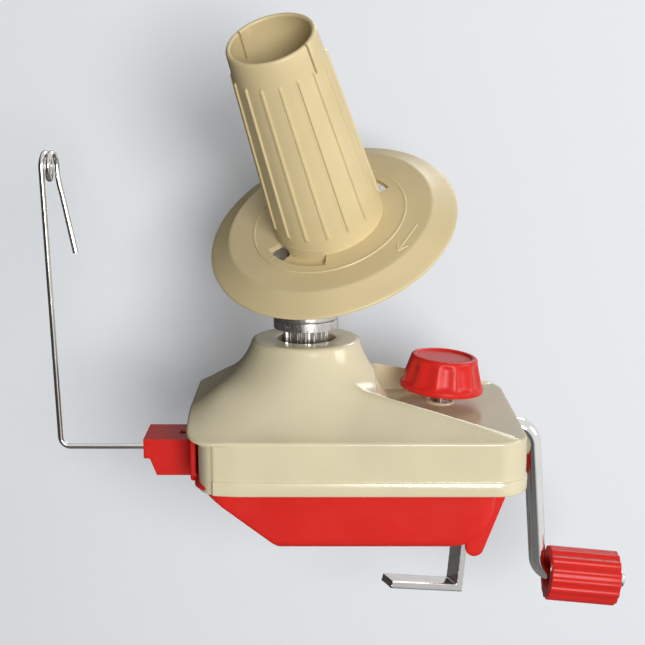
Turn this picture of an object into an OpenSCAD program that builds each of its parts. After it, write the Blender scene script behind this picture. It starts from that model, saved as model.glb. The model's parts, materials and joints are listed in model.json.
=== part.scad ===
// Hand-cranked yarn ball winder that clamps to a table edge.
// Origin: the spindle axis, on the flat underside of the base. +X points to the crank,
// -Y to the front, +Z up. All sizes are in millimetres.

/* [Base pan] */
// Height of the base pan, where the cover's lower edge sits
base_h = 23; // [20:0.5:26]
// Width of the base pan, front to back
base_w = 83; // [76:1:88]
// Reach of the pan's rim to the left of the spindle
base_left = 40; // [38:0.5:43]
// Reach of the pan's rim to the right of the spindle
base_right = 73; // [71:0.5:76]
// Reach of the flat underside to the left of the spindle
foot_left = 10; // [9.5:0.5:13]
// Reach of the flat underside to the right of the spindle
foot_right = 54.5; // [52:0.5:56]
// Wall of the base pan
base_wall = 2.4; // [2:0.1:2.8]
// Rounding of the pan's left corners in plan
base_corner_left = 10; // [8:0.5:14]
// Rounding of the pan's right corners in plan
base_corner_right = 7; // [5:0.5:9]
// Rounding of the pan's long lower edges
base_edge = 3; // [2.6:0.2:5]

/* [Cover] */
// Reach of the cover to the left of the spindle
cover_left = 45; // [44.5:0.5:47]
// Reach of the cover to the right of the spindle
cover_right = 83.5; // [82.5:0.5:86]
// Width of the cover, front to back
cover_w = 90; // [87:1:94]
// Height of the cover's upright band
band_h = 19; // [18:0.5:22]
// Wall of the cover
wall = 2.4; // [2:0.1:2.8]
// Height of the proud lip along the cover's lower edge
lip_h = 4.7; // [3:0.1:6]
// How far the lip stands proud
lip_proud = 0.5; // [0.3:0.1:0.9]
// Rounding of the cover's left corners
corner_left = 12; // [10:1:16]
// Rounding of the cover's right corners
corner_right = 12; // [9:1:15]
// Rise of the roof above the band
roof_h = 16; // [15:0.5:18]
// Width of the flanks' sweep from the band to the roof
flank_w = 20; // [18:0.5:21]
// Length of the rounding at the roof's left end
roof_round = 25; // [22:0.5:28]
// Where the roof starts to fall, to the right of the spindle
roof_fall_x = 5; // [3:0.5:8]
// Half width of the notch in the cover's left end
notch_half = 30; // [26:1:33]

/* [Neck] */
// Radius of the neck at its top
neck_r = 21.4; // [20:0.2:23]
// Rise of the neck's top above the band
neck_rise = 31.2; // [30:0.2:33]
// Slope of the neck's flank from upright
neck_slope = 19.8; // [17:0.2:21]
// Radius of the hole in the neck
neck_hole_r = 11.6; // [11:0.1:13]

/* [Knob deck] */
// Slope of the recessed deck
deck_slope = 1.5; // [1.2:0.1:2]
// Rise of the deck above the band at its open right end
deck_rise = 1; // [0.8:0.1:1.3]
// Where the recess starts, to the right of the spindle
deck_left = 16; // [16:0.5:18]
// Width of the rails' top beside the recess
rail_w = 1.2; // [1:0.1:2]

/* [Crank] */
// Height of the crank axle above the base pan's rim
crank_rise = 13.5; // [13:0.1:14]
// Radius of the crank rod
rod_r = 3.5; // [3.2:0.1:3.8]
// Radius of the rod's turned inner length
axle_r = 3; // [2.6:0.1:3.1]
// Length of the crank arm between its bends
arm_len = 50; // [44:0.5:56]
// Lean of the crank arm from upright
arm_lean = 4.5; // [2:0.5:6]
// Droop of the handle's axis
handle_droop = 5.5; // [3:0.5:7]
// Centre-line radius of the crank's bends
bend_r = 8; // [7:0.5:9]
// Length of the grip
grip_len = 28.9; // [27:0.1:34]
// Outer radius of the grip
grip_r = 11.3; // [10:0.1:12.5]
// Number of the grip's lobes
grip_lobes = 15; // [11:1:19]

/* [Gears] */
// Module of the crown gear and pinion
gear_m = 1; // [1]
// Teeth of the crown gear
crown_teeth = 54; // [54]
// Teeth of the spindle pinion
pinion_teeth = 16; // [16]
// Teeth of the fixed sun gear
sun_teeth = 12; // [12]
// Teeth of the planet gear under the platter
planet_teeth = 40; // [40]
// Cone distance of the bevel pair, from the apex to the outer ends
bevel_out = 64; // [63.8:0.1:64.2]
// Face width of the bevel pair
bevel_face = 7; // [5:0.5:7]

/* [Spindle] */
// Radius of the fixed centre post
post_r = 4; // [3.8:0.1:4.2]
// Height of the collar's lower face
collar_z = 77.5; // [77.2:0.1:77.8]
// Radius of the collar
collar_r = 12.9; // [12:0.1:13.2]
// Height of the collar
collar_h = 3.6; // [3.2:0.1:3.8]
// Thickness of the steel tilt arm
arm_t = 2.6; // [2.2:0.1:2.8]

/* [Spool] */
// Height at which the tilted axis crosses the spindle axis
apex_z = 149; // [148.8:0.1:149.2]
// Tilt of the spool
tilt = 35; // [34.8:0.1:35.2]
// Direction in which the spool leans at rest
tilt_dir = 244.25; // [240:0.25:248]
// Distance along the tilted axis from the apex to the platter's top
platter_drop = 37.1; // [36.6:0.1:37.3]
// Outer radius of the platter
platter_r = 52.1; // [50:0.1:54]
// Radius of the platter's flat
flat_r = 42.8; // [42:0.1:45]
// Drop of the sloping brim
brim_drop = 6.4; // [5:0.1:6.6]
// Thickness of the platter
platter_t = 2.4; // [2:0.1:2.6]
// Length of the winding cone
cone_len = 86.4; // [80:0.5:92]
// Radius of the cone at its foot
cone_foot_r = 22.7; // [22.2:0.1:23]
// Radius of the cone at its rim
cone_top_r = 17; // [16:0.1:18.5]
// Wall of the cone
cone_wall = 1.9; // [1.6:0.1:2.2]
// Number of ribs on the cone
cone_ribs = 16; // [12:1:20]
// Outer radius of the bayonet slots
slot_r = 28.3; // [27.6:0.1:29]
// Arc of each bayonet slot, in degrees
slot_arc = 61; // [58:1:66]
// Arc of each bayonet tab, in degrees
tab_arc = 44; // [40:1:46]
// Radius of the tilted axle
tilt_axle_r = 3.5; // [3.2:0.1:3.8]

/* [Clamp] */
// Clamp screw, to the right of the spindle
clamp_x = 55; // [54:0.5:56]
// Clamp screw, behind the crank axle
clamp_y = 9; // [9:0.1:9.5]
// Lean of the clamp screw
clamp_lean = 4.8; // [4:0.1:5.2]
// Turn of the hook about the screw
hook_turn = 26; // [24:1:27]
// Radius of the clamp screw
bolt_r = 3; // [2.8:0.1:3.2]
// Radius of the knob at its foot
knob_r = 16.5; // [15:0.1:18]
// Radius of the knob at its top
knob_top_r = 13; // [12:0.1:14]
// Height of the knob
knob_h = 14; // [12:0.5:16]
// Gap between the knob and the deck
knob_gap = 5.4; // [4.6:0.1:6]
// Number of flutes round the knob
knob_flutes = 12; // [8:1:16]
// Width of the hook's steel strip
hook_w = 8.5; // [8:0.5:9.5]
// Thickness of the hook's steel strip
hook_t = 3.3; // [2.8:0.1:3.5]
// Distance from the screw to the hook's leg
hook_reach = 16; // [15:0.1:16.5]
// Length of the hook's foot
hook_foot = 36.7; // [32:0.1:40]
// Depth of the hook's corner under the base
hook_drop = 41.8; // [38:0.1:45]
// Upward set of the hook's foot
hook_set = 9.7; // [8:0.1:12]

/* [Yarn guide] */
// Height of the guide wire's straight foot above the base pan's rim
wire_rise = 4.4; // [4:0.1:5]
// Radius of the guide wire
wire_r = 1.1; // [1:0.05:1.3]
// Reach of the wire's stem to the left of the spindle
wire_x = 100.3; // [94:0.1:104]
// Height of the eye's centre
eye_z = 141; // [136:0.5:146]
// Middle radius of the eye's turns
eye_r = 5.1; // [4.5:0.1:6]
// Length of the guide holder
holder_len = 20.7; // [18:0.1:23]
// Width of the guide holder
holder_w = 21; // [18:0.5:24]

/* [Clearances] */
// Radial running clearance of pins and shafts
run_gap = 0.06; // [0.03:0.01:0.1]
// Play between covers and between parts that pass each other
play = 0.3; // [0.25:0.05:0.4]

/* [Hidden] */
$fn = 64;
eps = 0.01;

red = "#dd1f1c";
cream = "#ddd2b4";
beige = "#d9c79c";
steel = "#c4c6c8";
brass = "#c9a65a";
nylon = "#e8e6de";

// Levels
band_top = base_h + band_h;
crank_z = base_h + crank_rise;
wire_z = base_h + wire_rise;
roof_z = band_top + roof_h;
neck_z = band_top + neck_rise;
neck_edge = 2.5;
neck_lap = neck_z - neck_edge + 0.1;

// Seat of the centre post in the base
post_seat = 4;
post_base_r = 9;
post_base_h = base_wall + 4;
post_boss_r = 6.4;
post_floor = 12;
pin_r = 1;
post_pin_z = 9.2;

// Cover screws: one in each corner of the flat underside
screw_x = [-4, 44];
screw_y = 31;
boss_r = 4.2;
screw_r = 1.5;
screw_head_r = 3;
screw_head_h = 2.2;
screw_free = screw_r + 0.2;
sink_r = screw_head_r + play;
boss_split = 30;
flange_h = 2;
sink_h = 8;

// Deck and roof curves
roof_base = 1;
deck_right_z = band_top + deck_rise;
function deck_z(x) = deck_right_z + (cover_right - x) * tan(deck_slope);
roof_fall = roof_z - deck_right_z - 0.3;
function roof_at(x) = roof_z - roof_fall * max(0, x - roof_fall_x) / (cover_right - roof_fall_x);
// The flank's sweep is hollow at the band and rounds over into the roof: rise is from 0 to 1 over its width
function flank_rise(u) = u * u * (3 - 2 * u);
function flank_at(rise) = 0.5 - sin(asin(1 - 2 * rise) / 3);
function rail_y(x) = cover_w / 2 - flank_w * flank_at((roof_at(x) - band_top) / roof_h) - rail_w;

// Gears
crown_r = gear_m * crown_teeth / 2;
pinion_r = gear_m * pinion_teeth / 2;
crown_in = crown_r - 2.6;
crown_out = crown_r + 2.4;
crown_tip_x = pinion_r - 0.85 * gear_m;
crown_root_x = pinion_r + 1.3 * gear_m;
crown_disc = 3.2;
crown_hub_r = 8;
crown_hub_x = crown_root_x + crown_disc + 6.5;
pin_x = crown_hub_x - 3;
pinion_low = crank_z + crown_in - 4;
sleeve_r = 5.5;
washer_t = 1;

sun_cone = atan2(sin(tilt) * sun_teeth / planet_teeth, 1 + cos(tilt) * sun_teeth / planet_teeth);
planet_cone = tilt - sun_cone;
bevel_in = bevel_out - bevel_face;
bevel_m = 2 * bevel_out * sin(sun_cone) / sun_teeth;
sun_z = apex_z - bevel_out * cos(sun_cone);

// Spindle stack
arm_z = collar_z + collar_h;
arm_top = arm_z + arm_t;
neck_sleeve_r = 6.5;
arm_plane = (apex_z - arm_top) * cos(tilt) + (collar_r - 2) * sin(tilt);
arm_w = 14;
post_top = sun_z + bevel_face + 1.2;

// Spool stack, along the tilted axis below the apex
platter_under = platter_drop + platter_t;
boss_hub_r = 8;
bush_r = 5;
hub_end = bevel_out * cos(planet_cone) + 0.6;
planet_back = bevel_out * cos(planet_cone);
planet_face = bevel_face * cos(planet_cone);
axle_top = platter_drop - 3;
slot_in = 20.5;
slot_mid = -12.2;
slots = 2;
slot_step = 360 / slots;
toe_arc = 9;
tab_mid = slot_mid + (slot_arc - tab_arc) / 2 - 1;

// Clamp
clamp_top = deck_z(clamp_x);
knob_z = knob_gap / cos(clamp_lean) + 0.4;
tab_z = 16;
tab_r = 5.2;
nut_h = 5;
nut_af = 10;
bolt_low = tab_z - nut_h - 3;

// Crank
wall_x = cover_right;
bend_x = wall_x + 0.8;
bush_len = wall + 3;
bush_out = rod_r + 1.6;
grip_start = -3;
handle_len = grip_len + grip_start + 3.9;
grip_washer_t = 1;
first_turn = 90 - arm_lean;
second_turn = 90 - arm_lean - handle_droop;

// Guide
end_wall_x = cover_left - 0.6;
holder_top = wire_z + 6.2;
holder_low = wire_z - 8.9;
holder_step = wire_z - 1.9;

// Rounded outline in plan, larger by grow on every side
module plan(left, right, width, r_left, r_right, grow = 0) {
    l = left + grow;
    r = right + grow;
    w = width / 2 + grow;
    a = r_left + grow;
    b = r_right + grow;
    translate([-l + a, -w]) square([l + r - a - b, 2 * w]);
    translate([-l, -w + a]) square([a + eps, 2 * (w - a)]);
    translate([r - b - eps, -w + b]) square([b + eps, 2 * (w - b)]);
    for (s = [-1, 1]) {
        translate([-l + a, s * (w - a)]) circle(a);
        translate([r - b, s * (w - b)]) circle(b);
    }
}

// Extrudes an X-Z outline along Y, centred
module along_y(width) {
    rotate([90, 0, 0]) linear_extrude(width, center = true) children();
}

// Extrudes a Y-Z outline along X
module along_x(from, to) {
    translate([from, 0, 0]) rotate([90, 0, 90]) linear_extrude(to - from) children();
}

// Solid roof and band, smaller by inset on every side
module roof(inset) {
    steps = 10;
    low = inset > 0 ? base_h - 1 : base_h;
    w = cover_w / 2 - inset;
    arc_x = roof_round - cover_left;
    arc_z = band_top + roof_base;
    arc = [for (i = [0:steps]) let (t = 90 * i / steps)
        [arc_x - (roof_round - inset) * cos(t), arc_z + (roof_h - roof_base - inset) * sin(t)]];
    top = [for (x = [roof_fall_x, cover_right - inset]) [x, roof_at(x) - inset]];
    flank = [for (i = [0:steps]) let (u = i / steps) [w - flank_w * u, band_top - inset + roof_h * flank_rise(u)]];
    intersection() {
        translate([0, 0, low]) linear_extrude(roof_z - low)
            plan(cover_left, cover_right, cover_w, corner_left, corner_right, -inset);
        along_y(cover_w + 2) polygon(concat([[cover_right - inset, low], [inset - cover_left, low]], arc, top));
        along_x(-cover_left - 1, cover_right + 1) polygon(concat([[-w, low], [w, low]], flank,
            [for (i = [steps:-1:0]) [-flank[i][0], flank[i][1]]]));
    }
}

// Space cut out above the deck, larger by grow on its closed sides
module recess(grow) {
    steps = 8;
    from = deck_left - grow;
    to = cover_right + 2;
    side = [for (i = [0:steps]) let (x = from + (to - from) * i / steps)
        [x, (rail_y(min(max(x, deck_left), cover_right)) + grow)]];
    intersection() {
        translate([0, 0, band_top - 6]) linear_extrude(roof_h + 20)
            polygon(concat(side, [for (i = [steps:-1:0]) [side[i][0], -side[i][1]]]));
        along_y(cover_w + 4) polygon([[from, deck_z(from) - grow], [to, deck_z(to) - grow],
            [to, roof_z + 10], [from, roof_z + 10]]);
    }
}

// Straight flank of the bell-shaped neck, smaller by inset
module neck_cone(inset, top) {
    low = band_top - 3;
    drop = neck_z - neck_edge;
    r_low = neck_r + (drop - low) * tan(neck_slope) - inset;
    r_top = neck_r - (top - drop) * tan(neck_slope) - inset;
    translate([0, 0, low]) cylinder(r1 = r_low, r2 = r_top, h = top - low, $fn = 96);
}

// Concave sweep where the neck meets the roof
module neck_flare() {
    r0 = neck_r + (neck_z - neck_edge - roof_z) * tan(neck_slope);
    sweep = 7;
    rotate_extrude($fn = 96) polygon(concat([[r0 - 4, roof_z - 6], [r0 + sweep, roof_z - 6]],
        [for (i = [0:6]) let (t = 90 * i / 6)
            [r0 + sweep - sweep * sin(t) - 1.2 * (1 - cos(t)), roof_z - 1.6 + 5.4 * (1 - cos(t))]],
        [[r0 - 4, roof_z + 3.8]]));
}

// Rounded top of the neck
module neck_top() {
    edge = neck_edge;
    rotate_extrude($fn = 96) {
        translate([0, neck_z - edge - 3]) square([neck_r - edge, edge + 3]);
        translate([neck_r - edge, neck_z - edge]) circle(edge, $fn = 32);
    }
}

// Places its children on the clamp screw's axis, at the deck, with +Z along the axis
module on_clamp() {
    translate([clamp_x, clamp_y, clamp_top]) rotate([0, clamp_lean, 0]) children();
}

module cover_bosses(r, low, high) {
    for (x = screw_x, s = [-1, 1]) translate([x, s * screw_y, low]) cylinder(r = r, h = high - low);
}

module top_cover() {
    color(cream) difference() {
        union() {
            difference() {
                union() {
                    roof(0);
                    neck_flare();
                }
                difference() {
                    recess(0);
                    neck_cone(0, neck_lap);
                }
            }
            neck_cone(0, neck_lap);
            neck_top();
            translate([0, 0, base_h]) linear_extrude(lip_h)
                plan(cover_left, cover_right, cover_w, corner_left, corner_right, lip_proud);
            on_clamp() translate([0, 0, -1]) cylinder(r = 6, h = 1.9);
        }
        difference() {
            union() {
                difference() {
                    roof(wall);
                    difference() {
                        recess(wall);
                        neck_cone(wall, neck_z - 3);
                    }
                }
                neck_cone(wall + 0.4, neck_z - 3);
                gear_well();
            }
            cover_bosses(boss_r, boss_split, roof_z);
        }
        translate([0, 0, neck_z - 10]) cylinder(r = neck_hole_r, h = 20);
        cover_bosses(screw_r, boss_split - 1, boss_split + 10);
        on_clamp() translate([0, 0, -20]) cylinder(r = bolt_r + run_gap, h = 30);
        translate([0, 0, crank_z]) along_axle(wall_x - bush_len - play, wall_x + 2, bush_out);
        translate([-cover_left - 2, -notch_half, base_h - 1]) cube([wall + 3, 2 * notch_half, band_h + 0.6]);
    }
}

// Room inside the cover for the crown gear
module gear_well() {
    translate([0, 0, crank_z]) intersection() {
        along_axle(crown_tip_x - 2, crown_root_x + crown_disc + 1, crown_out + 1.1);
        translate([0, -cover_w / 2, -5]) cube([40, cover_w, 40]);
    }
}

// A cylinder along X, about the crank axle
module along_axle(from, to, r) {
    translate([from, 0, 0]) rotate([0, 90, 0]) cylinder(r = r, h = to - from);
}

// Solid form of the base pan, smaller by inset on every side
module pan_form(inset) {
    steps = 8;
    w = base_w / 2 - inset;
    e = base_edge - inset;
    run = base_right - foot_right;
    right = [for (i = [0:steps]) let (t = 90 * i / steps)
        [foot_right - inset / 2 + (run - inset / 2) * sin(t), inset + (base_h + inset) * (1 - cos(t))]];
    top = inset > 0 ? base_h + flange_h + 1 : base_h;
    intersection() {
        translate([0, 0, inset]) linear_extrude(top - inset)
            plan(base_left, base_right, base_w, base_corner_left, base_corner_right, -inset);
        along_y(base_w + 2) polygon(concat([[base_right - inset, top], [inset - base_left, top],
            [inset - base_left, base_h - inset / 2], [inset / 2 - foot_left, inset]], right));
        along_x(-base_left - 1, base_right + 1) {
            translate([-w, inset + e]) square([2 * w, top]);
            translate([-w + e, inset]) square([2 * (w - e), top]);
            for (s = [-1, 1]) translate([s * (w - e), inset + e]) circle(e);
        }
    }
}

// Rim flange that fits inside the cover's skirt
module pan_flange() {
    translate([0, 0, base_h - eps]) linear_extrude(flange_h + eps)
        plan(cover_left, cover_right, cover_w, corner_left, corner_right, -wall - play);
}

// Upright fork at the base's right end that meets the table's edge
lug_y = [-27, 27];
lug_t = 2.5;
lug_w = 7.4;
lug_top = [base_right + 3.5, base_h];
lug_end = [base_right - 6.8, -5.2];
module lugs() {
    fall = atan2(lug_top[0] - lug_end[0], lug_top[1] - lug_end[1]);
    reach = norm(lug_top - lug_end);
    for (y = lug_y) translate([lug_end[0], y + lug_t / 2, lug_end[1]]) rotate([0, fall, 0])
        rotate([90, 0, 0]) linear_extrude(lug_t) {
            circle(lug_w / 2);
            translate([-lug_w / 2, 0]) square([lug_w, reach + 1]);
        }
}

module base_pan() {
    leg_slot = hook_w + 7;
    color(red) difference() {
        union() {
            difference() {
                union() {
                    pan_form(0);
                    pan_flange();
                }
                pan_form(base_wall);
            }
            intersection() {
                lugs();
                translate([-100, -100, -100]) cube([300, 200, base_h + 101]);
            }
            translate([0, 0, eps]) cylinder(r = post_base_r, h = post_base_h - eps);
            translate([0, 0, eps]) cylinder(r = post_boss_r, h = post_floor - eps);
            cover_bosses(boss_r, eps, boss_split);
            for (s = [-1, 1]) translate([block_x, s * block_screw_y, eps]) cylinder(r = 4, h = block_foot - eps);
            translate([-end_wall_x, play - notch_half, base_h])
                cube([wall, 2 * (notch_half - play), band_h - 1]);
        }
        translate([0, 0, post_seat]) cylinder(r = post_r, h = post_floor);
        across_post(2 * post_base_r);
        for (x = screw_x, s = [-1, 1]) translate([x, s * screw_y, 0]) {
            translate([0, 0, -1]) cylinder(r = sink_r, h = sink_h + 1);
            cylinder(r = screw_free, h = boss_split + 1);
        }
        for (s = [-1, 1]) translate([block_x, s * block_screw_y, 1.2]) cylinder(r = screw_r, h = 10);
        on_hook() translate([hook_reach - 3, -leg_slot / 2, -clamp_top - 8])
            cube([hook_t + 7, leg_slot, base_h + flange_h + 11]);
        for (s = [-1, 1]) holder_bore(s, screw_free);
    }
}

module cover_screws() {
    color(steel) for (x = screw_x, s = [-1, 1]) translate([x, s * screw_y, sink_h - screw_head_h]) {
        cylinder(r = screw_head_r, h = screw_head_h);
        cylinder(r = screw_r, h = boss_split - sink_h + screw_head_h + 9);
    }
}

// Yarn guide
holder_screw_y = 6.5;
holder_screw_z = 4;
module holder_bore(s, r) {
    translate([-end_wall_x - 12, s * holder_screw_y, wire_z + holder_screw_z]) rotate([0, 90, 0])
        cylinder(r = r, h = 12 + wall + 0.5);
}

module guide_holder() {
    x0 = -end_wall_x;
    x1 = x0 - holder_len;
    color(red) difference() {
        along_y(holder_w) polygon([[x0, holder_top], [x1, holder_top], [x1, holder_step],
            [x1 + 2.4, holder_step], [x1 + 5, holder_low], [x0, holder_low]]);
        translate([x1 - 1, 0, wire_z]) rotate([0, 90, 0]) cylinder(r = wire_r + run_gap, h = holder_len + 0.4);
        translate([x0 - 7, -2, wire_z - wire_r - 0.6]) cube([5, 4, 20]);
        for (s = [-1, 1]) holder_bore(s, screw_r);
    }
}

module holder_screws() {
    color(steel) for (s = [-1, 1]) {
        translate([wall - end_wall_x, s * holder_screw_y, wire_z + holder_screw_z]) rotate([0, 90, 0])
            cylinder(r = screw_head_r, h = screw_head_h);
        translate([-end_wall_x - 10, s * holder_screw_y, wire_z + holder_screw_z]) rotate([0, 90, 0])
            cylinder(r = screw_r, h = 10 + wall + 1);
    }
}

// Centre line of the wire's stem, eye and tail, from the foot's end to the tail's end
wire_bend = 4;
stem_lean = 2.6;
eye_pitch = 2.6;
eye_top_x = -wire_x - stem_lean;
wire_line = concat(
    [for (t = [0:15:90]) [-wire_x + wire_bend - wire_bend * sin(t), 0, wire_z + wire_bend - wire_bend * cos(t)]],
    [for (k = [0.25, 0.5, 0.75]) [-wire_x - stem_lean * k, 0, wire_z + wire_bend + (eye_z - wire_z - wire_bend) * k]],
    [for (a = [0:20:540]) [eye_top_x + eye_pitch * a / 360, eye_r - eye_r * cos(a), eye_z + eye_r * sin(a)]],
    [[eye_top_x + eye_pitch * 1.5 + 1.6, 2 * eye_r - 0.6, eye_z - 11],
     [eye_top_x + eye_pitch * 1.5 + 6.4, 2 * eye_r - 2, eye_z - 35]]);

// Tube of radius r along a list of points
module tube(line, r, sides) {
    n = len(line);
    function way(i) = let (d = line[min(i + 1, n - 1)] - line[max(i - 1, 0)]) d / norm(d);
    function side(i) = let (v = cross(way(i), [1, 1, 0])) v / norm(v);
    rings = [for (i = [0:n - 1]) let (u = side(i), v = cross(way(i), u))
        for (k = [0:sides - 1]) line[i] + r * (cos(360 * k / sides) * u + sin(360 * k / sides) * v)];
    walls = [for (i = [0:n - 2], k = [0:sides - 1]) let (a = i * sides + k, b = i * sides + (k + 1) % sides)
        each [[a, b + sides, b], [a, a + sides, b + sides]]];
    polyhedron(rings, concat([[for (k = [0:sides - 1]) k]], walls,
        [[for (k = [sides - 1:-1:0]) (n - 1) * sides + k]]));
}

module guide_wire() {
    foot_end = wire_bend - wire_x;
    color(steel) {
        translate([foot_end, 0, wire_z]) rotate([0, 90, 0])
            cylinder(r = wire_r, h = -end_wall_x - 2 - foot_end);
        tube(concat([[foot_end + 3, 0, wire_z]], wire_line), wire_r * 0.985, 8);
    }
}

// Crank
block_x = 24;
block_screw_y = 12;
block_w = 7;
block_foot = base_wall + 2.6;
module outer_bush() {
    color(nylon) translate([0, 0, crank_z]) difference() {
        along_axle(wall_x - bush_len, wall_x, bush_out);
        along_axle(wall_x - 20, wall_x + 20, rod_r + run_gap);
    }
}

module bearing_block() {
    foot = block_foot;
    color(nylon) difference() {
        union() {
            translate([block_x - block_w / 2, -8, foot]) cube([block_w, 16, crank_z - foot]);
            translate([0, 0, crank_z]) along_axle(block_x - block_w / 2, block_x + block_w / 2, 8);
            translate([block_x - block_w / 2, -17, foot]) cube([block_w, 34, 3]);
        }
        translate([0, 0, crank_z]) along_axle(block_x - 10, block_x + 10, axle_r + run_gap);
        for (s = [-1, 1]) translate([block_x, s * block_screw_y, foot - 1]) cylinder(r = screw_free, h = 6);
    }
}

module block_screws() {
    foot = block_foot;
    color(steel) for (s = [-1, 1]) translate([block_x, s * block_screw_y, 1.6]) {
        cylinder(r = screw_r, h = foot + 3 - 1.6 + 1);
        translate([0, 0, foot + 3 - 1.6]) cylinder(r = screw_head_r, h = screw_head_h);
    }
}

// Centre line of the crank's arm and its two bends
arm_way = [sin(arm_lean), 0, -cos(arm_lean)];
arm_side = [cos(arm_lean), 0, sin(arm_lean)];
function first_bend(a) = [bend_x + bend_r * sin(a), 0, crank_z - bend_r * (1 - cos(a))];
function second_bend(a) = first_bend(first_turn) + arm_len * arm_way
    + bend_r * (sin(a) * arm_way + (1 - cos(a)) * arm_side);
handle_from = second_bend(second_turn);
handle_way = [cos(handle_droop), 0, -sin(handle_droop)];
bend_steps = 7;
lap = 3;
crank_line = concat([[bend_x - lap, 0, crank_z]],
    [for (i = [0:bend_steps]) first_bend(first_turn * i / bend_steps)],
    [for (i = [0:bend_steps]) second_bend(second_turn * i / bend_steps)],
    [handle_from + lap * handle_way]);

// Places its children at the end of the crank's second bend, with +X along the handle
module on_handle() {
    translate(handle_from) rotate([0, handle_droop, 0]) children();
}

axle_start = crown_root_x + 0.6;
step_x = wall_x - wall - 6;
module crank_rod() {
    color(steel) difference() {
        union() {
            translate([0, 0, crank_z]) {
                along_axle(axle_start, step_x + 1, axle_r);
                along_axle(step_x, bend_x, rod_r);
            }
            tube(crank_line, rod_r * 0.992, 20);
            on_handle() along_axle(0, handle_len, rod_r);
        }
        translate([pin_x, 0, crank_z]) cylinder(r = pin_r, h = 30, center = true, $fn = 24);
        translate([0, 0, crank_z]) difference() {
            along_axle(clip_x, clip_x + clip_t, rod_r + 3);
            along_axle(clip_x - 1, clip_x + clip_t + 1, groove_r);
        }
    }
}

module gear_pin() {
    color(steel) translate([pin_x, 0, crank_z])
        cylinder(r = pin_r, h = 2 * crown_hub_r, center = true, $fn = 24);
}

clip_t = 1;
groove_r = axle_r - 0.5;
clip_x = block_x + block_w / 2 + play;
module crank_clip() {
    color(steel) translate([0, 0, crank_z]) difference() {
        along_axle(clip_x, clip_x + clip_t, axle_r + 2.2);
        along_axle(clip_x - 1, clip_x + clip_t + 1, groove_r);
        translate([clip_x - 1, -(axle_r - 0.7), 0]) cube([clip_t + 2, 2 * (axle_r - 0.7), 10]);
    }
}

// Radial teeth on the crown gear's left face, straight sided and relieved for running
module crown_gear() {
    pitch = 360 / crown_teeth;
    body_x = crown_root_x;
    tooth_root = 0.52 * PI * gear_m;
    tooth_tip = 0.2 * PI * gear_m;
    color(nylon) translate([0, 0, crank_z]) {
        difference() {
            union() {
                along_axle(body_x, body_x + crown_disc, crown_out);
                along_axle(body_x, crown_hub_x, crown_hub_r);
                for (i = [0:crown_teeth - 1]) rotate([(i + 0.5) * pitch, 0, 0])
                    translate([0, 0, crown_in]) linear_extrude(crown_out - crown_in)
                        polygon([[body_x + 0.2, -tooth_root / 2], [crown_tip_x, -tooth_tip / 2],
                            [crown_tip_x, tooth_tip / 2], [body_x + 0.2, tooth_root / 2]]);
            }
            along_axle(0, 60, axle_r);
            translate([pin_x, 0, 0]) cylinder(r = pin_r, h = 40, center = true, $fn = 24);
            for (i = [0:5]) rotate([60 * i + 30, 0, 0]) translate([body_x + 1.6, 0, (crown_hub_r + crown_in) / 2])
                rotate([0, 90, 0]) cylinder(r = 5, h = 10);
        }
    }
}

module grip_washer() {
    color(steel) on_handle() translate([grip_start + grip_len + 0.1, 0, 0]) rotate([0, 90, 0]) difference() {
        cylinder(r = 5.4, h = grip_washer_t);
        translate([0, 0, -1]) cylinder(r = rod_r, h = 4);
    }
}

module grip() {
    lobe = PI * grip_r / grip_lobes * 0.82;
    groove = 0.6;
    socket = 5;
    color(red) on_handle() translate([grip_start, 0, 0]) rotate([0, 90, 0]) difference() {
        linear_extrude(grip_len) {
            circle(grip_r - groove);
            for (i = [0:grip_lobes - 1]) rotate(360 * i / grip_lobes) translate([grip_r - lobe, 0])
                circle(lobe, $fn = 24);
        }
        translate([0, 0, -1]) cylinder(r = rod_r + run_gap, h = grip_len + 2);
        translate([0, 0, -1]) cylinder(r = rod_r + 3.2, h = socket + 1);
    }
}

// Spindle
module centre_post() {
    color(steel) difference() {
        translate([0, 0, post_seat]) cylinder(r = post_r, h = post_top - post_seat);
        across_post(2 * post_base_r);
        translate([0, 0, post_top - 7]) cylinder(r = screw_r, h = 8);
    }
}

// A pin through the post's foot, along Y
module across_post(len) {
    translate([0, 0, post_pin_z]) rotate([90, 0, 0]) cylinder(r = pin_r, h = len, center = true, $fn = 24);
}

module post_pin() {
    color(steel) across_post(2 * post_boss_r - 0.4);
}

module thrust_washer() {
    color(brass) translate([0, 0, post_floor]) difference() {
        cylinder(r = sleeve_r + 0.7, h = washer_t);
        translate([0, 0, -1]) cylinder(r = post_r + run_gap, h = 4);
    }
}

// Spur tooth outline of the pinion, with straight flanks
module pinion_outline() {
    root = pinion_r - 1.25 * gear_m;
    tip = pinion_r + 0.95 * gear_m;
    pitch = 360 / pinion_teeth;
    half_root = 0.33 * pitch;
    half_pitch = 0.19 * pitch;
    half_tip = 0.085 * pitch;
    polygon([for (i = [0:pinion_teeth - 1]) let (a = i * pitch)
        each [for (p = [[root, -half_root], [pinion_r, -half_pitch], [tip, -half_tip],
            [tip, half_tip], [pinion_r, half_pitch], [root, half_root]])
            [p[0] * cos(a + p[1]), p[0] * sin(a + p[1])]]]);
}

module spindle_pinion() {
    low = post_floor + washer_t + play;
    color(steel) difference() {
        union() {
            translate([0, 0, low]) cylinder(r = sleeve_r, h = pinion_low - low + 1);
            translate([0, 0, pinion_low]) linear_extrude(collar_z - pinion_low) pinion_outline();
            translate([0, 0, collar_z - 1]) cylinder(r = neck_sleeve_r, h = arm_top - collar_z + 1);
        }
        translate([0, 0, -1]) cylinder(r = post_r + run_gap, h = apex_z);
    }
}

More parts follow.
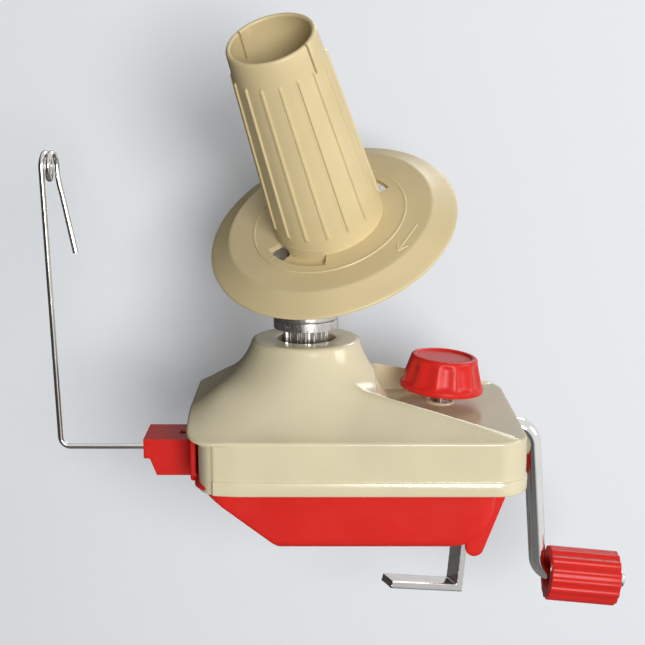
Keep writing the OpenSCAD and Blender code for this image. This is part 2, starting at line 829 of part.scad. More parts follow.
set_dir = 235;
module spindle_collar() {
    color(steel) difference() {
        translate([0, 0, collar_z]) cylinder(r = collar_r, h = collar_h);
        translate([0, 0, collar_z - 1]) cylinder(r = neck_sleeve_r, h = collar_h + 2);
        translate([0, 0, collar_z + collar_h / 2]) rotate([0, 90, set_dir])
            cylinder(r = screw_r, h = collar_r + 2, $fn = 24);
    }
}

module collar_set_screw() {
    color(steel) translate([0, 0, collar_z + collar_h / 2]) rotate([0, 90, set_dir]) difference() {
        translate([0, 0, neck_sleeve_r + 0.05]) cylinder(r = screw_r, h = collar_r - neck_sleeve_r - 0.1, $fn = 24);
        translate([0, 0, collar_r - 1.2]) cylinder(r = 0.75, h = 3, $fn = 6);
    }
}

// Places its children at the apex, with +Z along the tilted axis and +X down the slope
module on_tilt() {
    translate([0, 0, apex_z]) rotate([0, tilt, tilt_dir]) children();
}

// Steel arm that turns with the spindle and carries the tilted axle
module tilt_arm() {
    end = arm_w / 2;
    bend_line = arm_plane * tan(tilt) - (collar_r - 2) / cos(tilt);
    color(steel) difference() {
        union() {
            translate([0, 0, arm_z]) cylinder(r = collar_r, h = arm_t);
            difference() {
                on_tilt() translate([0, 0, -arm_plane - arm_t]) {
                    cylinder(r = end, h = arm_t);
                    translate([0, -arm_w / 2, 0]) cube([bend_line + 6, arm_w, arm_t]);
                }
                translate([0, 0, arm_z - 20]) cylinder(r = 200, h = 20);
            }
        }
        translate([0, 0, arm_z - 1]) cylinder(r = neck_sleeve_r, h = arm_t + 1 + eps);
        translate([0, 0, arm_top]) cylinder(r = collar_r - 2.05, h = 20);
        on_tilt() translate([0, 0, -arm_plane - arm_t - 1]) cylinder(r = tilt_axle_r, h = arm_t + 2);
    }
}

module tilt_axle() {
    color(steel) on_tilt() difference() {
        union() {
            translate([0, 0, -arm_plane - arm_t]) cylinder(r = tilt_axle_r, h = arm_plane + arm_t - axle_top);
            translate([0, 0, -arm_plane]) cylinder(r = tilt_axle_r + 2, h = arm_plane - hub_end - play);
            translate([0, 0, -arm_plane - arm_t - 1]) cylinder(r = tilt_axle_r + 1.2, h = 1);
        }
        translate([0, 0, -axle_top - 8]) cylinder(r = screw_r, h = 9);
    }
}

module axle_washer() {
    color(steel) on_tilt() translate([0, 0, -axle_top]) difference() {
        cylinder(r = 7, h = 1);
        translate([0, 0, -1]) cylinder(r = screw_free, h = 3);
    }
}

module axle_screw() {
    color(steel) on_tilt() translate([0, 0, 1 - axle_top]) {
        cylinder(r = screw_head_r, h = screw_head_h);
        translate([0, 0, -8]) cylinder(r = screw_r, h = 9);
    }
}

// Bevel gear outline in the plane of its outer ends; the pitch cone opens by cone degrees
module bevel_outline(teeth, cone) {
    pitch = 360 / teeth;
    reach = bevel_out * cos(cone);
    add = atan2(0.8 * bevel_m, bevel_out);
    ded = atan2(1.1 * bevel_m, bevel_out);
    mid = reach * tan(cone);
    root = reach * tan(cone - ded);
    tip = reach * tan(cone + add);
    flank = 0.115 * pitch;
    polygon([for (i = [0:teeth - 1]) let (a = i * pitch)
        each [for (p = [[root, -0.31 * pitch], [mid, -0.2 * pitch], [tip, -flank],
            [tip, flank], [mid, 0.2 * pitch], [root, 0.31 * pitch]])
            [p[0] * cos(a + p[1]), p[0] * sin(a + p[1])]]]);
}

module sun_gear() {
    reach = bevel_out * cos(sun_cone);
    color(brass) difference() {
        union() {
            translate([0, 0, apex_z - reach]) rotate(tilt_dir + 180)
                linear_extrude(bevel_face * cos(sun_cone), scale = bevel_in / bevel_out)
                    bevel_outline(sun_teeth, sun_cone);
            translate([0, 0, arm_top + play]) cylinder(r = 6, h = sun_z - arm_top - play + 1);
        }
        translate([0, 0, -1]) cylinder(r = post_r, h = apex_z);
    }
}

module sun_screw() {
    color(steel) translate([0, 0, post_top]) {
        cylinder(r = post_r + 0.6, h = 1);
        translate([0, 0, -6]) cylinder(r = screw_r, h = 7);
    }
}

// Spool
module platter_section() {
    lip = 0.9;
    k = brim_drop / (platter_r - flat_r);
    polygon([[0, -platter_drop], [flat_r, -platter_drop], [platter_r, -platter_drop - brim_drop + lip],
        [platter_r, -platter_drop - brim_drop], [platter_r - 1.4, -platter_drop - brim_drop],
        [flat_r - k * platter_t / 2, -platter_under], [0, -platter_under]]);
}

// A sector of a ring, from radius r0 to r1, centred on angle mid
module arc_block(r0, r1, arc, mid, h) {
    rotate(mid - arc / 2) rotate_extrude(angle = arc) translate([r0, 0]) square([r1 - r0, h]);
}

module platter() {
    ring_r = 31.9;
    color(beige) on_tilt() difference() {
        union() {
            rotate_extrude($fn = 128) platter_section();
            translate([0, 0, -hub_end + 4]) cylinder(r = boss_hub_r, h = hub_end - 4 - platter_drop - 0.5);
            translate([0, 0, -platter_drop - 0.5]) difference() {
                cylinder(r = ring_r + 0.4, h = 0.9);
                translate([0, 0, -1]) cylinder(r = ring_r - 0.4, h = 3);
            }
        }
        for (i = [0:slots - 1]) translate([0, 0, -platter_under - 1])
            arc_block(slot_in, slot_r, slot_arc, slot_mid + slot_step * i, platter_t + 2);
        translate([0, 0, -hub_end - 1]) cylinder(r = bush_r, h = hub_end + 1);
    }
}

module planet_gear() {
    reach = planet_back;
    web_r = bevel_in * sin(planet_cone) - 3.6;
    web_t = 2.6;
    color(nylon) on_tilt() difference() {
        union() {
            difference() {
                translate([0, 0, -reach]) rotate(180 / planet_teeth)
                    linear_extrude(planet_face, scale = bevel_in / bevel_out)
                        bevel_outline(planet_teeth, planet_cone);
                translate([0, 0, -reach + web_t]) cylinder(r = web_r, h = planet_face);
            }
            translate([0, 0, -hub_end]) cylinder(r = boss_hub_r + 3, h = hub_end - reach + 5);
        }
        translate([0, 0, -hub_end + 4]) cylinder(r = boss_hub_r, h = 20);
        translate([0, 0, -hub_end - 1]) cylinder(r = bush_r, h = 20);
    }
}

module hub_bush() {
    color(brass) on_tilt() translate([0, 0, -hub_end]) difference() {
        cylinder(r = bush_r, h = hub_end - axle_top - 1 - play + 1);
        translate([0, 0, -1]) cylinder(r = tilt_axle_r + run_gap, h = 60);
    }
}

module winding_cone() {
    rib_w = 1;
    rib_h = 0.7;
    rib_low = 7;
    rib_high = cone_len * 0.82;
    slope = atan2(cone_foot_r - cone_top_r, cone_len);
    foot = play / 3;
    slit_w = 1.1;
    slit_h = 12;
    tab_t = 2;
    tab_low = -platter_t - play - tab_t;
    tab_out = slot_r - play;
    tab_in = slot_in + play;
    color(beige) on_tilt() translate([0, 0, -platter_drop]) difference() {
        union() {
            translate([0, 0, foot]) cylinder(r1 = cone_foot_r, r2 = cone_top_r, h = cone_len - foot, $fn = 96);
            for (i = [0:cone_ribs - 1]) rotate(360 * i / cone_ribs + 3)
                translate([cone_foot_r - rib_low * tan(slope) - 0.6, -rib_w / 2, rib_low]) rotate([0, -slope, 0])
                    cube([rib_h + 0.6, rib_w, rib_high - rib_low]);
            for (i = [0:slots - 1]) rotate(tab_mid + slot_step * i) translate([0, 0, tab_low]) {
                arc_block(tab_in, cone_foot_r - 0.4, tab_arc, 0, foot + 3 - tab_low);
                arc_block(tab_in, tab_out, tab_arc + toe_arc, toe_arc / 2, tab_t);
            }
        }
        translate([0, 0, foot - 1])
            cylinder(r1 = cone_foot_r - cone_wall, r2 = cone_top_r - cone_wall, h = cone_len - foot + 2, $fn = 96);
        for (d = [75, 255]) rotate(d) translate([5, -slit_w / 2, cone_len - slit_h]) cube([30, slit_w, slit_h + 1]);
    }
}

// Clamp
module on_hook() {
    on_clamp() rotate(hook_turn) children();
}

module clamp_knob() {
    lip = 2.2;
    shoulder = 1.5;
    flute = 4.5;
    flute_deep = 0.9;
    step = 360 / knob_flutes;
    color(red) on_clamp() translate([0, 0, knob_z]) difference() {
        rotate_extrude() polygon([[0, 0], [knob_r - 0.5, 0], [knob_r, 0.6], [knob_r, lip],
            [knob_top_r + 0.6, knob_h - shoulder], [knob_top_r, knob_h], [0, knob_h]]);
        for (i = [0:knob_flutes - 1]) rotate(i * step) translate([knob_r + flute - flute_deep, 0, lip])
            rotate([0, -atan2(knob_r - knob_top_r, knob_h), 0]) cylinder(r = flute, h = knob_h - lip - shoulder - 0.4);
        translate([0, 0, knob_h - 0.9]) cylinder(r = knob_top_r - 1.6, h = 2);
        translate([0, 0, -1]) cylinder(r = bolt_r, h = 9);
    }
}

module clamp_bolt() {
    color(steel) on_clamp() translate([0, 0, bolt_low - clamp_top])
        cylinder(r = bolt_r, h = knob_z + 8 - bolt_low + clamp_top);
}

// One steel strip: a tab on the screw, a leg, and a foot that rises towards its tip
module clamp_hook() {
    leg_low = -hook_drop - clamp_top;
    tab = tab_z - clamp_top;
    out_x = hook_reach + hook_t;
    up = hook_t * [sin(hook_set), cos(hook_set)];
    tip = [out_x - hook_foot * cos(hook_set), leg_low + hook_foot * sin(hook_set)];
    inner_z = leg_low + up[1] + (hook_t + up[0]) * tan(hook_set);
    color(steel) on_hook() difference() {
        union() {
            along_y(hook_w) polygon([[0, tab + hook_t], [out_x, tab + hook_t], [out_x, leg_low], tip, tip + up,
                [hook_reach, inner_z], [hook_reach, tab], [0, tab]]);
            translate([0, 0, tab]) cylinder(r = tab_r, h = hook_t);
        }
        translate([0, 0, tab - 1]) cylinder(r = bolt_r + 0.4, h = hook_t + 2);
    }
}

module clamp_nut() {
    color(steel) on_clamp() translate([0, 0, tab_z - clamp_top - nut_h]) difference() {
        cylinder(r = nut_af / 2 / cos(30), h = nut_h, $fn = 6);
        translate([0, 0, -1]) cylinder(r = bolt_r + run_gap, h = nut_h + 2);
    }
}

base_pan();
top_cover();
cover_screws();
guide_holder();
holder_screws();
guide_wire();
outer_bush();
bearing_block();
block_screws();
centre_post();
post_pin();
thrust_washer();
sun_gear();
sun_screw();
crank_rod();
crown_gear();
gear_pin();
crank_clip();
grip_washer();
grip();
spindle_pinion();
spindle_collar();
collar_set_screw();
tilt_arm();
tilt_axle();
axle_washer();
axle_screw();
platter();
planet_gear();
hub_bush();
winding_cone();
clamp_knob();
clamp_bolt();
clamp_hook();
clamp_nut();
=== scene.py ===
"""Looks of a hand-cranked yarn ball winder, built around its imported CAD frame.

The frame is in metres: +X towards the crank, -Y towards the front, +Z up along the spindle.
Shapes below are drawn in millimetres and scaled by MM where a mesh is made.
"""

import json
import math

import bmesh
import bpy
from mathutils import Matrix, Vector


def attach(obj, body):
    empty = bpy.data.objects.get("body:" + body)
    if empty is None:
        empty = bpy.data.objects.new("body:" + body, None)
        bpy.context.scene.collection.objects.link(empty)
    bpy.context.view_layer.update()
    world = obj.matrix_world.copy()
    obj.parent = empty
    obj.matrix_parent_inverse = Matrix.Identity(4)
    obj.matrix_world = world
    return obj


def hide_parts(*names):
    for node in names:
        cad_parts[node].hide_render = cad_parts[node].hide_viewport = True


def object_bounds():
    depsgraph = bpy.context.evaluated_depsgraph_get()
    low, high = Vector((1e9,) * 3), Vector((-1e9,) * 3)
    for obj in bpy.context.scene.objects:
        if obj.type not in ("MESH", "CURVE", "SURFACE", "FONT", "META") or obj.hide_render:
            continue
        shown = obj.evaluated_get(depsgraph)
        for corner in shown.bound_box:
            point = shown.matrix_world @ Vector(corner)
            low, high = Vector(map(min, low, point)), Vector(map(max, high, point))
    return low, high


MM = 0.001
SHARP_DEG = 38
EASE = 0.15

# Spool: tilted axis, platter and cone
APEX_Z = 149.0
TILT = math.radians(35)
TILT_DIR = math.radians(244.25)
PLATTER_DROP = 37.1
PLATTER_R = 52.1
PLATTER_T = 2.4
FLAT_R = 42.8
BRIM_DROP = 6.4
HUB_R = 8.0
HUB_BORE = 5.0
HUB_LOW = 53.55
RING_R = 31.9
SLOT_IN = 20.5
SLOT_R = 28.3
SLOT_ARC = 61.0
SLOT_MID = -12.2
SLOT_STARTS = (0, 180)
TAB_ARC = 44.0
TAB_MID = SLOT_MID + (SLOT_ARC - TAB_ARC) / 2 - 1
TOE_ARC = 9.0
TAB_T = 2.0
ARROW_TAIL = (38.7, 89)
ARROW_HEAD = (39.3, 66)
ARROW_BARB = 4.2
ARROW_SPREAD = math.radians(32)
ARROW_R = 0.42
CONE_LEN = 86.4
CONE_FOOT_R = 22.7
CONE_TOP_R = 17.0
CONE_WALL = 1.9
CONE_RIBS = 16
RIB_SHIFT = 3.0
RIB_LOW = 7.0
RIB_HIGH = CONE_LEN * 0.885
RIB_H = 0.7
SLIT_DIRS = (75, 255)
SLIT_W = 1.1
SLIT_H = 12.0
PLAY = 0.3

# Cover: band, lip, sweeping roof, recessed deck and bell-shaped neck
COVER_LEFT = 45.0
COVER_RIGHT = 84.2
COVER_HALF = 45.0
CORNER = 12.0
OUTLINE_STEP = 1.0
CORNER_STEPS = 24
BASE_H = 22.2
BAND_TOP = 43.0
LIP_TOP = 27.7
BAND_SET = 2.2
POST_X = -34.5
POST_EDGE = 1.2
POST_SET = 0.7
DRAW_X = -24.0
DRAW_RUN = 13.5
DRAW_IN = 1.4
RIM_H = 2.1
RIM_LIFT = 2.6
LIP_PROUD = 0.5
ROOF_TOP = 63.0
FLANK_H = 15.0
FLANK_W = 20.0
FLANK_BEND = 1.3
END_BASE = 6.8
END_ROUND = 12.9
END_RISE = 1.0
END_SLOPE = 0.55
ROOF_END = 43.3
DECK_END = 43.0
DECK_SLOPE = math.tan(math.radians(1.5))
RAIL_W = 1.2
RAIL_NEAR = 29.0
RAIL_GAPS = (1.2, 0.9, 0.6, 0.3, 0.0, -0.4)
WELL_X = 27.5
WELL_SIDE = 0.9
WELL_ROUND = 5.0
WELL_FOOT = 1.5
NECK_R = 22.0
NECK_Z = 73.2
NECK_EDGE = 2.2
NECK_SLOPE = math.tan(math.radians(19.8))
NECK_FLARE = 0.006
NECK_HOLE = 11.6
NECK_FINE = NECK_R + 2.6
CORNER_BLEND = 17.0
ROOF_BLEND = 3.0
NECK_BLEND = 11.0
WELL_BLEND = 2.5
NOTCH_HALF = 30.0
NOTCH_TOP = 41.6
NOTCH_DEEP = 14.0
BUSH_R = 5.1
WALL = 2.2
EDGE_R = 0.9
EDGE_STEPS = 5

# Clamp screw and knob
CLAMP_AT = (55.0, 9.0, 43.746)
CLAMP_LEAN = math.radians(4.8)
KNOB_Z = 5.819
KNOB_R = 17.2
KNOB_TOP_R = 13.0
KNOB_H = 14.0
KNOB_FLUTES = 12
BOLT_R = 3.0
BOLT_LOW = 8.0 - CLAMP_AT[2]
BOLT_HIGH = KNOB_Z + 8
THREAD_DEPTH = 0.42
HOOK_TURN = math.radians(26)
SLOT_OUT = 24.0
SLOT_DEEP = 11.7
SLOT_WIDE = 16.9

# Crank
CRANK_Z = 36.5
ROD_R = 3.5
AXLE_R = 3.0
AXLE_START = 9.9
STEP_X = 75.1
BEND_X = 84.3
BEND_R = 8.0
ARM_LEN = 50.0
ARM_LEAN = math.radians(4.5)
DROOP = math.radians(5.5)
GRIP_START = -3.0
GRIP_LEN = 28.9
GRIP_R = 11.3
GRIP_LOBES = 15
GRIP_GROOVE = 0.6
GRIP_SOCKET = 5.0
HANDLE_LEN = GRIP_LEN + GRIP_START + 3.9
PEEN_LEN = 1.4
RUN_GAP = 0.06

# Yarn guide wire
WIRE_R = 1.1
WIRE_X = 100.3
WIRE_Z = 27.4
WIRE_END = -46.4
WIRE_MID = -70.0
WIRE_BEND = 4.0
STEM_LEAN = 2.6
EYE_Z = 141.0
EYE_R = 5.1
EYE_PITCH = 2.6
TAIL_BEND = Vector((1.6, -0.6, -11.0))
TAIL_RUN = Vector((4.8, -1.4, -24.0))

# Camera, fitted to the photograph
CAMERA_AT = (6.6, -468.4, 180.4)
CAMERA_TURN = math.radians(77.8)
LENS = 66.87
SENSOR = 36.0

# Noise scales of the finishes
DRIFT_SCALE = 38.0
GLOSS_SCALE = 140.0
GRAIN_SCALE = 900.0
SCRATCH_SCALE = 2600.0
CLOUD_SCALE = 120.0

# Stage, in metres
LAMP_AIM = (0.0, 0.0, 0.09)
FLOOR_DROP = 0.092
BACKDROP_Y = 0.128
BACKDROP_Z = 0.06


def turn(angle, axis):
    """Rotation by an angle in radians about X, Y or Z."""
    return Matrix.Rotation(angle, 4, axis)


ON_TILT = Matrix.Translation((0, 0, APEX_Z)) @ turn(TILT_DIR, "Z") @ turn(TILT, "Y")
ON_CLAMP = Matrix.Translation(CLAMP_AT) @ turn(CLAMP_LEAN, "Y")


# Camera


def add_camera():
    data = bpy.data.cameras.new("camera")
    data.lens = LENS
    data.sensor_width = SENSOR
    data.clip_start = 0.01
    camera = bpy.data.objects.new("camera", data)
    camera.location = Vector(CAMERA_AT) * MM
    camera.rotation_euler = (CAMERA_TURN, 0, 0)
    bpy.context.scene.collection.objects.link(camera)
    bpy.context.scene.camera = camera


# Mesh helpers


def new_object(name, bm, sharp_deg=SHARP_DEG):
    """A smooth-shaded object from a mesh drawn in millimetres, sharp at edges over sharp_deg."""
    bmesh.ops.recalc_face_normals(bm, faces=bm.faces)
    bmesh.ops.scale(bm, vec=(MM, MM, MM), verts=bm.verts)
    mesh = bpy.data.meshes.new(name)
    bm.to_mesh(mesh)
    bm.free()
    mesh.shade_smooth()
    mesh.set_sharp_from_angle(angle=math.radians(sharp_deg))
    obj = bpy.data.objects.new(name, mesh)
    bpy.context.scene.collection.objects.link(obj)
    return obj


def add_grid(bm, rings, along=False, caps=False):
    """Joins closed rings of points with quads. along closes the last ring to the first."""
    rows = [[bm.verts.new(p) for p in ring] for ring in rings]
    count = len(rows[0])
    pairs = list(zip(rows, rows[1:]))
    if along:
        pairs.append((rows[-1], rows[0]))
    for low, high in pairs:
        for k in range(count):
            n = (k + 1) % count
            bm.faces.new((low[k], low[n], high[n], high[k]))
    if caps:
        bm.faces.new(rows[0])
        bm.faces.new(rows[-1])


def lathe(profile, angles, place, reshape=None):
    """Rings for a profile of (radius, height) turned about Z. reshape(r, h, angle) may change the radius."""
    rings = []
    for r, h in profile:
        ring = []
        for a in angles:
            radius = reshape(r, h, a) if reshape else r
            ring.append(place @ Vector((radius * math.cos(a), radius * math.sin(a), h)))
        rings.append(ring)
    return rings


def even_angles(count):
    return [2 * math.pi * k / count for k in range(count)]


def spaced(start, stop, count):
    """Even steps from start towards stop, without stop itself."""
    return [start + (stop - start) * k / count for k in range(count)]


def arc(cx, cy, r, start, end, steps):
    """Points of a circular arc in degrees."""
    angles = [math.radians(start + (end - start) * k / steps) for k in range(steps + 1)]
    return [(cx + r * math.cos(a), cy + r * math.sin(a)) for a in angles]


def add_tube(bm, line, radii, sides):
    """A closed tube along a list of points, with a radius at each."""
    rings = []
    side = None
    for i, point in enumerate(line):
        way = (line[min(i + 1, len(line) - 1)] - line[max(i - 1, 0)]).normalized()
        if side is None:
            side = way.orthogonal().normalized()
        side = (side - way * side.dot(way)).normalized()
        other = way.cross(side)
        rings.append([point + radii[i] * (math.cos(a) * side + math.sin(a) * other)
                      for a in even_angles(sides)])
    add_grid(bm, rings, caps=True)


def add_arc_block(bm, place, r0, r1, z0, z1, start, end, steps=14, edge=0.25):
    """A sector of a ring with eased edges, between two angles in degrees."""
    section = [(r0 + edge, z0), (r1 - edge, z0), (r1, z0 + edge), (r1, z1 - edge),
               (r1 - edge, z1), (r0 + edge, z1), (r0, z1 - edge), (r0, z0 + edge)]
    rings = []
    for k in range(steps + 1):
        a = math.radians(start + (end - start) * k / steps)
        rings.append([place @ Vector((r * math.cos(a), r * math.sin(a), z)) for r, z in section])
    add_grid(bm, rings, caps=True)


def cut(obj, cutter, sharp_deg=SHARP_DEG):
    """Takes the cutter's volume out of obj, and removes the cutter."""
    change = obj.modifiers.new("cut", "BOOLEAN")
    change.object = cutter
    change.operation = "DIFFERENCE"
    change.solver = "EXACT"
    bake(obj)
    obj.data.shade_smooth()
    obj.data.set_sharp_from_angle(angle=math.radians(sharp_deg))
    bpy.data.objects.remove(cutter)


def bake(obj):
    """Applies obj's modifiers to its mesh."""
    bpy.context.view_layer.update()
    evaluated = obj.evaluated_get(bpy.context.evaluated_depsgraph_get())
    mesh = bpy.data.meshes.new_from_object(evaluated)
    obj.modifiers.clear()
    obj.data = mesh


def stands_for(obj, node, material):
    """obj takes a CAD node's place, body and material slot."""
    body = next(b for b, nodes in frame["record"]["behaviour"]["bodies"].items() if node in nodes)
    obj.data.materials.clear()
    obj.data.materials.append(material)
    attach(obj, body)
    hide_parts(node)


def slot_of(node):
    return next(s["material_slot"] for s in frame["record"]["subparts"] if s["node"] == node)


def moulded(node, material, voxel, passes, cutter=None):
    """A copy of a CAD node with edges rounded as a mould or a press leaves them, less a cutter if given."""
    bm = bmesh.new()
    bm.from_mesh(frame["nodes"][node].data)
    bmesh.ops.remove_doubles(bm, verts=bm.verts, dist=1e-6)
    mesh = bpy.data.meshes.new(node + "_form")
    bm.to_mesh(mesh)
    bm.free()
    obj = bpy.data.objects.new(node + "_form", mesh)
    bpy.context.scene.collection.objects.link(obj)
    remesh = obj.modifiers.new("remesh", "REMESH")
    remesh.mode = "VOXEL"
    remesh.voxel_size = voxel * MM
    smooth = obj.modifiers.new("smooth", "SMOOTH")
    smooth.factor = 0.5
    smooth.iterations = passes
    bake(obj)
    obj.data.shade_smooth()
    if cutter:
        cut(obj, cutter)
    stands_for(obj, node, material)


# Cover


def sweep(u):
    """S-shaped rise from 0 to 1."""
    u = min(1.0, max(0.0, u))
    return u * u * (3 - 2 * u)


def soft_min(a, b, reach):
    """The lower of two heights, rounded over where they are within reach of each other."""
    lap = max(0.0, reach - abs(a - b))
    return min(a, b) - lap * lap / (4 * reach)


def soft_max(a, b, reach):
    return -soft_min(-a, -b, reach)


def roof_line(x):
    return ROOF_TOP - (ROOF_TOP - ROOF_END) * max(0.0, x) / COVER_RIGHT


def rail_y(x):
    """Distance from the middle to the recess's side, where the flank's sweep meets the falling roof."""
    rise = max(0.0, (roof_line(x) - BAND_TOP) / FLANK_H)
    return COVER_HALF - FLANK_W * rise ** (1 / FLANK_BEND) - RAIL_W


def flank_line(y):
    """Height of the long sides' sweep, which steepens towards the middle."""
    return BAND_TOP + FLANK_H * (max(0.0, COVER_HALF - abs(y)) / FLANK_W) ** FLANK_BEND


def end_line(x):
    """Height of the left end's rounded edge and the slope above it."""
    u = max(0.0, x + COVER_LEFT)
    off = 1 - min(1.0, u / END_ROUND)
    return BAND_TOP + END_BASE + (END_RISE + END_SLOPE * u) * math.sqrt(1 - off * off)


def deck_line(x):
    return DECK_END + (COVER_RIGHT - x) * DECK_SLOPE


def neck_line(r):
    """Height of the neck's flank, which flares towards its foot."""
    drop = (math.sqrt(NECK_SLOPE ** 2 + 4 * NECK_FLARE * max(0.0, r - NECK_R)) - NECK_SLOPE) / (2 * NECK_FLARE)
    return NECK_Z - NECK_EDGE - drop


def cover_height(x, y):
    """Height of the cover's upper surface outside the neck's crown."""
    r = math.hypot(x, y)
    roof = soft_min(soft_min(flank_line(y), end_line(x), CORNER_BLEND), roof_line(x), ROOF_BLEND)
    inside = soft_min(rail_y(x) - abs(y), x - WELL_X, WELL_ROUND) if x > 0 else -1.0
    open_part = sweep(inside / WELL_SIDE)
    ground = roof + (deck_line(x) - roof) * open_part
    return soft_max(ground, neck_line(r), NECK_BLEND + (WELL_BLEND - NECK_BLEND) * open_part)


def outline():
    """Points and outward normals round the cover's plan, anticlockwise from the right end."""
    points = []
    corners = ((COVER_RIGHT, 1, 0), (-COVER_LEFT, 1, 90), (-COVER_LEFT, -1, 180), (COVER_RIGHT, -1, 270))
    bends = []
    for x, s, start in corners:
        centre = Vector((x - math.copysign(CORNER, x), s * (COVER_HALF - CORNER)))
        angles = [math.radians(start + 90 * k / CORNER_STEPS) for k in range(CORNER_STEPS + 1)]
        normals = [Vector((math.cos(a), math.sin(a))) for a in angles]
        bends.append([(centre + CORNER * normal, normal) for normal in normals])
    for k, bend in enumerate(bends):
        points += bend
        a, normal = bend[-1]
        b = bends[(k + 1) % 4][0][0]
        count = int((b - a).length / OUTLINE_STEP)
        points += [(a.lerp(b, i / count), normal) for i in range(1, count)]
    return points


def ray_knots(point, normal):
    """Distances from the spindle at which a ray to an outline point is sampled, out to the rounded edge.

    The samples are close together at the recess's inner end and at its side, where halving finds each gap.
    """
    reach = point.length
    way = point / reach
    slant = way.dot(normal)
    last = reach - (WALL + 0.1) / slant

    def beside(r):
        return rail_y(r * way.x) - r * abs(way.y)

    knots = []
    for i, gap in enumerate(RAIL_GAPS):
        low = RAIL_NEAR
        high = last - 0.6
        if way.x <= 0 or beside(low) < gap:
            knots.append(RAIL_NEAR + 1 + 0.3 * i)
            continue
        for _ in range(40):
            mid = (low + high) / 2
            low, high = (mid, high) if beside(mid) > gap else (low, mid)
        knots.append(low + 0.02 * i)
    wall = min(WELL_X / max(way.x, 0.3), knots[0] - 2.2)
    foot = wall + WELL_FOOT
    inner = spaced(NECK_FINE, wall - 0.1, 11) + spaced(wall, foot, 10) + spaced(foot, knots[0], 13)
    outer = [knots[-1] + (last - knots[-1]) * (1 - (1 - k / 26) ** 1.5) for k in range(1, 27)]
    return inner + knots + outer


def top_cover(material):
    """The cover as rays from the spindle to its outline: outside down to the lip, and back up the inside."""
    top = NECK_Z - NECK_EDGE
    crown = [(NECK_HOLE, NECK_Z - 0.5)] + arc(NECK_HOLE + 0.5, NECK_Z - 0.5, 0.5, 180, 90, 3)
    crown += [(15, NECK_Z)] + arc(NECK_R - NECK_EDGE, top, NECK_EDGE, 90, 20, 8)
    band = [(0, BAND_TOP - 1.6), (0, BAND_TOP - 2), (0, 35), (0, 30)]
    lip = [(0, LIP_TOP + 0.35), (0.05, LIP_TOP + 0.12), (LIP_PROUD - 0.1, LIP_TOP), (LIP_PROUD, LIP_TOP - 0.15),
           (LIP_PROUD, BASE_H + 0.4), (LIP_PROUD - 0.15, BASE_H + 0.1), (LIP_PROUD - 0.4, BASE_H)]
    inside = [(-WALL, BASE_H), (-WALL, 34)]
    columns = []
    for point, normal in outline():
        way = point.normalized()
        slant = way.dot(normal)
        shell = [(way * r, z) for r, z in crown]
        knots = spaced(NECK_R + 0.2, NECK_FINE, 8) + ray_knots(point, normal)
        shell += [(way * r, cover_height(way.x * r, way.y * r)) for r in knots]
        column = list(shell)
        for k in range(EDGE_STEPS + 1):
            a = math.pi / 2 * k / EDGE_STEPS
            at = way * (point.length - EDGE_R * (1 - math.sin(a)) / slant)
            column.append((at, cover_height(at.x, at.y) - EDGE_R * (1 - math.cos(a))))
        post = sweep((POST_X - point.x) / POST_EDGE)
        end = sweep((POST_X + 1 - point.x) / (COVER_LEFT + POST_X + 1))
        draw = DRAW_IN * sweep((DRAW_X - point.x) / DRAW_RUN)
        set_in = Vector((BAND_SET * end, 0)) - normal * (POST_SET * post + draw)
        for out, z in band + lip + inside:
            proud = max(out, 0.0) * (1 - post) + min(out, 0.0)
            lift = RIM_LIFT * end if z > BAND_TOP - RIM_H else 0.0
            column.append((point + normal * proud + set_in, z + lift))
        inner_x = BAND_SET * end + WALL - COVER_LEFT
        column += [(Vector((max(at.x, inner_x), at.y)), z - WALL) for at, z in reversed(shell)]
        columns.append([Vector((at.x, at.y, z)) for at, z in column])
    bm = bmesh.new()
    add_grid(bm, list(zip(*columns)), along=True)
    skin = new_object("cover_skin", bm, 45)
    holes = bmesh.new()
    notch = Matrix.Translation((-COVER_LEFT, 0, (NOTCH_TOP + BASE_H) / 2 - 2))
    span = Matrix.Diagonal((NOTCH_DEEP, 2 * NOTCH_HALF, NOTCH_TOP - BASE_H + 4, 1))
    bmesh.ops.create_cube(holes, size=1, matrix=notch @ span)
    on_axle = Matrix.Translation((COVER_RIGHT - 8, 0, CRANK_Z)) @ turn(math.pi / 2, "Y")
    bush_r = BUSH_R + 0.1
    bolt_r = BOLT_R + RUN_GAP
    add_grid(holes, lathe([(bush_r, 0), (bush_r, 12)], even_angles(48), on_axle), caps=True)
    add_grid(holes, lathe([(bolt_r, -8), (bolt_r, 8)], even_angles(48), ON_CLAMP), caps=True)
    cut(skin, new_object("holes", holes), 45)
    stands_for(skin, "top_cover", material)

    ring = bmesh.new()
    profile = [(BOLT_R + 0.4, -0.8), (BOLT_R + 0.4, 0.15), (4.6, 0.15)]
    profile += arc(5.4, 0.35, 0.6, 165, 15, 6) + [(6.3, -0.8)]
    add_grid(ring, lathe(profile, even_angles(64), ON_CLAMP), along=True)
    collar = new_object("deck_ring", ring, 50)
    collar.data.materials.append(material)
    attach(collar, "housing")


# Materials


